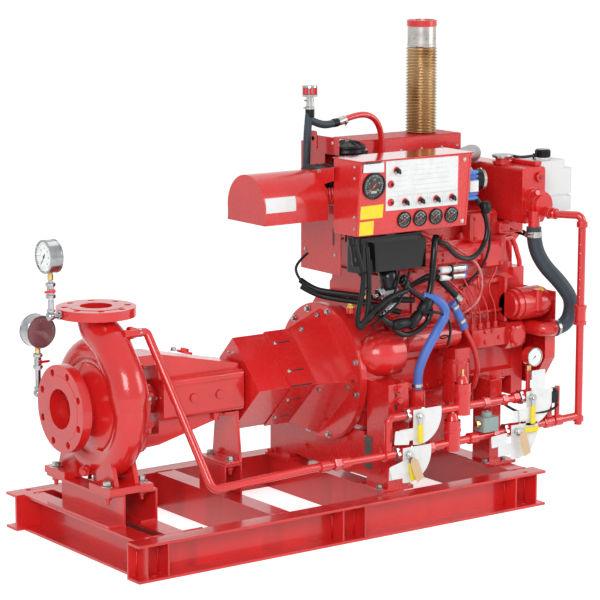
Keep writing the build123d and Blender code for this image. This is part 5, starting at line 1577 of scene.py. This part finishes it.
class FIREPUMP_OT_air_parts(bpy.types.Operator):
    """Add the heat shield's perforated top, the hood's lip, bracket and bare label, the breather,
    the air cleaner's cap and ribs and the air hose"""
    bl_idname = "firepump.air_parts"
    bl_label = "Air and shield parts"

    def execute(self, context):
        shield = Build()
        shield.box((380, 76, 1229), (822, 222, 1230.6), "perforated_red", 0.5)
        shield.box((378, 73.2, 1200), (822, 75, 1229), "sheet_red", 0.4)
        for x in (392, 470, 560, 650, 740, 808):
            for z, r in ((1186, 4), (1140, 3)):
                shield.screw((x, 74.9, z), -Y, r)
        shield.box((199, -52, 1205), (203, 120, 1262), "sheet_red", 1)
        shield.prism(rounded(44, 60, 8), (199, 88, 1246), -Y, Z, 3, "sheet_red", 1)
        shield.disc((197, 88, 1250), -X, 8, 1.0, "tag_white", 24, 0.2)
        shield.disc((198, -20, 1244), -X, 5, 1.0, "tag_white", 24, 0.2)
        for y, z in ((-30, 1015), (-30, 870), (140, 1015), (140, 870), (140, 1190)):
            shield.screw((202.6, y, z), -X, 5)
        shield.prism(rounded(9, 60, 4), (202.8, -20, 930), -Y, Z, 0.6, "ink", 0.1)
        shield.dress("shield_parts")

        hood = Build()
        lip = 3.0
        y0, y1, x0, x1, z = -151.2, 60.2, -168.0, 84.0, 1012.0
        for left, near, right, far in ((x0, y0, x1, y0 + lip), (x0, y1 - lip, x1, y1),
                                       (x0 - 0.6, y0, x0 + 2, y1)):
            hood.box((left, near, z), (right, far, z + 10), "sheet_red", 0.6)
        bracket = [(30, 1118), (99.6, 1118), (183, 1143.9), (183, 1188.5), (47.4, 1165), (30, 1160)]
        hood.prism(bracket, (83.8, 0, 0), -Y, Z, 2.5, "sheet_red", 0.6)
        hood.bolt((81.3, -105.6, 1168), -X, 9)
        hood.dress("hood_lip")
        labels = Build()
        strips, low_deg, span_deg = 8, -5.0, 26.0
        for i in range(strips):
            turn = radians(low_deg + span_deg * (i + 0.5) / strips)
            out = Vector((0, -cos(turn), sin(turn)))
            middle = Vector((-104, HOOD_Y, HOOD_Z)) + out * (HOOD_R + 0.1)
            tall = 2 * HOOD_R * sin(radians(span_deg) / strips / 2) + 0.2
            up = Vector((0, sin(turn), cos(turn)))
            labels.prism(rounded(118, tall, 0.05, 1), middle, X, up, 0.5, "tag_white", 0.02)
        labels.dress("hood_labels")

        breather = Build()
        x, y, foot = 163, 60, 1392
        filter_body = [(0, 11), (2, 25), (9, 26), (10, 22), (31, 22), (32, 26), (38, 25), (39, 0)]
        breather.lathe(filter_body, (x, y, foot), Z, "chrome", 32)
        for i in range(12):
            turn = 2 * pi * i / 12
            out = Vector((cos(turn), sin(turn), 0))
            middle = Vector((x, y, foot + 20.5)) + out * 21
            breather.prism(rounded(8, 21, 1), middle, Z.cross(out), Z, 3.4, "knob_red", 0.8)
        breather.lathe([(0, 9.5), (1, 12), (34, 12), (35, 9.5)], (x, y, 1358), Z, "zinc", 24)
        for z, r in ((1376, 12.2), (1352, 14)):
            breather.clamp((x, y, z), Z, r, 8, side=3.6)
        breather.lathe([(0, 13), (2, 15.5), (26, 15.5), (28, 13)], (x, y, 1325), Z, "black_rubber", 24)
        breather.lathe([(0, 11), (2, 14), (22, 14), (24, 11)], (278, y, 1302), (1, 0, 0.2), "zinc", 24)
        breather.clamp((300, y, 1307), (1, 0, 0.2), 13, 8, side=4.0)
        cuff = [(0, 12), (2, 14.5), (18, 14.5), (20, 12)]
        breather.lathe(cuff, (258, y, 1299), (1, 0, 0.1), "black_rubber", 24)
        breather.dress("breather_parts")
        hose = [[(148, y, 994), (148, y, 1120), (150, y, 1230), (156, y, 1310), (163, y, 1360)],
                [(160, y, 1318), (190, y, 1304), (225, y, 1295), (262, y, 1298), (282, y, 1303)]]
        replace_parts(cables("breather_hose", hose, 13, "hose_grey"), "breather_pipe")
        branch = [(292, y, 1305), (338, y, 1318), (399, y, 1322), (440, y, 1300), (463, y, 1255),
                  (464, y, 1185), (464, y, 1120)]
        cables("breather_branch", [branch], 10.5, "pipe_red")

        cleaner = Build()
        crown = Vector((272, 0, 1204))
        dome = [(0, 0), (0, 62), (5, 64), (9, 62), (20, 61), (25, 63), (28, 56), (37, 34), (41, 14),
                (41, 0)]
        cleaner.lathe(dome, crown, Z, "black_rubber", 44, True)
        for i in range(12):
            turn = 2 * pi * i / 12
            out = Vector((cos(turn), sin(turn), 0))
            rib = [(12, 39), (58, 22), (62, 24), (60, 28), (36, 40), (14, 44)]
            cleaner.prism(rib, crown - Z.cross(out) * 1.2, out, Z, 2.4, "black_gloss", 0.4)
        for i in range(8):
            cleaner.ring((90 + i * 30, -46, 1110), X, 71.5, 2.0, "black_gloss", 40, 6)
        for i in range(6):
            cleaner.ring((88 + i * 12, -92, 1086), X, 32, 5.5, "block_red", 32, 8)
        cleaner.lathe([(0, 28), (0, 31), (76, 31), (76, 28)], (84, -92, 1086), X, "block_red", 32)
        cleaner.clamp((80, -46, 1100), -X, 53, 10, side=1.0)
        cleaner.dress("air_cleaner_parts")

        charge = Build()
        along = (1, -0.2, -0.05)
        stub = [(0, 0), (0, 30), (4, 33), (52, 33), (56, 35), (64, 35), (68, 31), (68, 0)]
        charge.lathe(stub, (690, -116, 1096), along, "black_rubber", 36)
        charge.clamp((744, -127, 1093), along, 34, 10, side=1.2)
        charge.dress("air_hose_end")
        hose = [(716, -118, 1096), (690, -100, 1130), (700, -70, 1165), (760, -40, 1178), (830, 0, 1172),
                (870, 60, 1150)]
        cables("air_hose", [hose], 24, "strap_grey")
        return {"FINISHED"}


class FIREPUMP_OT_exchanger_parts(bpy.types.Operator):
    """Add the heat exchanger's cap, plugs, bolts and petcock, and the bottle's cap and bracket"""
    bl_idname = "firepump.exchanger_parts"
    bl_label = "Exchanger parts"

    def execute(self, context):
        tank = Build()
        lid = [(0, 27), (2, 35), (8, 37), (12, 35), (13, 20), (15, 12), (15, 0)]
        tank.lathe(lid, (900, -60, 1150), Z, "zinc", 36)
        for turn in (radians(30), radians(210)):
            out, side = Vector((cos(turn), sin(turn), 0)), Vector((-sin(turn), cos(turn), 0))
            tank.prism(rounded(16, 9, 3), Vector((900, -60, 1152)) + out * 36, out, side, 5, "zinc", 0.8)
        tank.box((944, -186, 1130), (972, -40, 1146), "sheet_red", 3)
        tank.bolt((958, -172, 1146), Z, 16)
        tank.dress("exchanger_cap")

        cap = Build()
        for i in range(6):
            turn = radians(60 * i + 20)
            cap.hexagon((929 + 48 * cos(turn), -213, 1003 + 48 * sin(turn)), -Y, 12, 7, "cast_red")
        dome = [(0, 46), (4, 47), (18, 44), (27, 34), (30, 22), (30, 0)]
        cap.lathe(dome, (929, -214, 1003), -Y, "cast_red", 40, True)
        cap.disc((948, -206, 1094), -Y, 18, 5, "cast_red", 28)
        # The nut under this boss is drawn in red darkened as painted shade
        cap.hexagon((948, -210, 1094), -Y, 14, 5, "painted_shade_red")
        cap.lathe([(0, 16), (3, 19), (18, 19), (22, 15)], (940, -300, 978), (0.05, 1, 0), "pipe_red", 28)
        cap.hexagon((940, -262, 978), -Y, 38, 16, "cast_red")
        cap.disc((966, -180, 992), (1, -0.3, 0), 6, 34, "cast_red", 18)
        cap.box((988, -204, 986), (1010, -196, 998), "cast_red", 2)
        cap.disc((905, -236, 1046), (0, -1, 0.3), 10, 8, "cast_red", 20)
        for y in (-110, 0, 110):
            cap.hexagon((905, y, 937.5), -Z, 14, 7, "cast_red")
        cap.dress("exchanger_bosses")

        bottle = Build()
        bottle.lathe([(0, 24), (2, 26), (26, 26), (29, 23), (29, 0)], (1085, -60, 1139), Z, "black_gloss",
                     32)
        for i in range(20):
            turn = 2 * pi * i / 20
            x, y = 1085 + 26 * cos(turn), -60 + 26 * sin(turn)
            bottle.disc((x, y, 1142), Z, 1.8, 21, "black_gloss", 8, 0.3)
        bottle.lathe([(0, 8), (1, 9), (20, 9), (22, 8), (22, 0)], (1050, -60, 1133), Z, "black_gloss", 20)
        bottle.lathe([(0, 5), (18, 5), (18, 0)], (1050, -60, 1147), (-1, 0, 0), "black_gloss", 16)
        bottle.dress("bottle_cap")
        hoses = [[(1034, -60, 1147), (1000, -58, 1144), (960, -56, 1150), (930, -58, 1158)],
                 [(884, -10, 929), (900, -60, 912), (935, -120, 890), (944, -150, 884), (940, -130, 900)]]
        cables("bottle_hose", hoses, 5, "black_rubber")
        return {"FINISHED"}


OPERATORS = (FIREPUMP_OT_finishes, FIREPUMP_OT_stage, FIREPUMP_OT_pump_parts, FIREPUMP_OT_guard_parts,
             FIREPUMP_OT_base_parts, FIREPUMP_OT_gauges, FIREPUMP_OT_panel, FIREPUMP_OT_cables,
             FIREPUMP_OT_hoses,
             FIREPUMP_OT_loop_parts, FIREPUMP_OT_engine_parts, FIREPUMP_OT_exhaust, FIREPUMP_OT_air_parts,
             FIREPUMP_OT_exchanger_parts)
SETTINGS = {"firepump_paint": PaintSettings, "firepump_sizes": SizeSettings,
            "firepump_stage": StageSettings}


class FIREPUMP_PT_sidebar(bpy.types.Panel):
    """Lists the steps and settings of the fire pump's looks"""
    bl_idname = "FIREPUMP_PT_sidebar"
    bl_label = "Fire pump"
    bl_space_type = "VIEW_3D"
    bl_region_type = "UI"
    bl_category = "Fire pump"

    def draw(self, context):
        for setting, group in SETTINGS.items():
            for name in group.__annotations__:
                self.layout.prop(getattr(context.scene, setting), name)
        for operator in OPERATORS:
            self.layout.operator(operator.bl_idname)


def register():
    for group in SETTINGS.values():
        bpy.utils.register_class(group)
    for name, group in SETTINGS.items():
        setattr(bpy.types.Scene, name, bpy.props.PointerProperty(type=group))
    for operator in OPERATORS:
        bpy.utils.register_class(operator)
    bpy.utils.register_class(FIREPUMP_PT_sidebar)


def unregister():
    bpy.utils.unregister_class(FIREPUMP_PT_sidebar)
    for operator in reversed(OPERATORS):
        bpy.utils.unregister_class(operator)
    for name, group in SETTINGS.items():
        delattr(bpy.types.Scene, name)
        bpy.utils.unregister_class(group)


def main():
    register()
    for operator in OPERATORS:
        step = operator.bl_idname.split(".")[1]
        getattr(bpy.ops.firepump, step)()


if __name__ == "__main__":
    main()
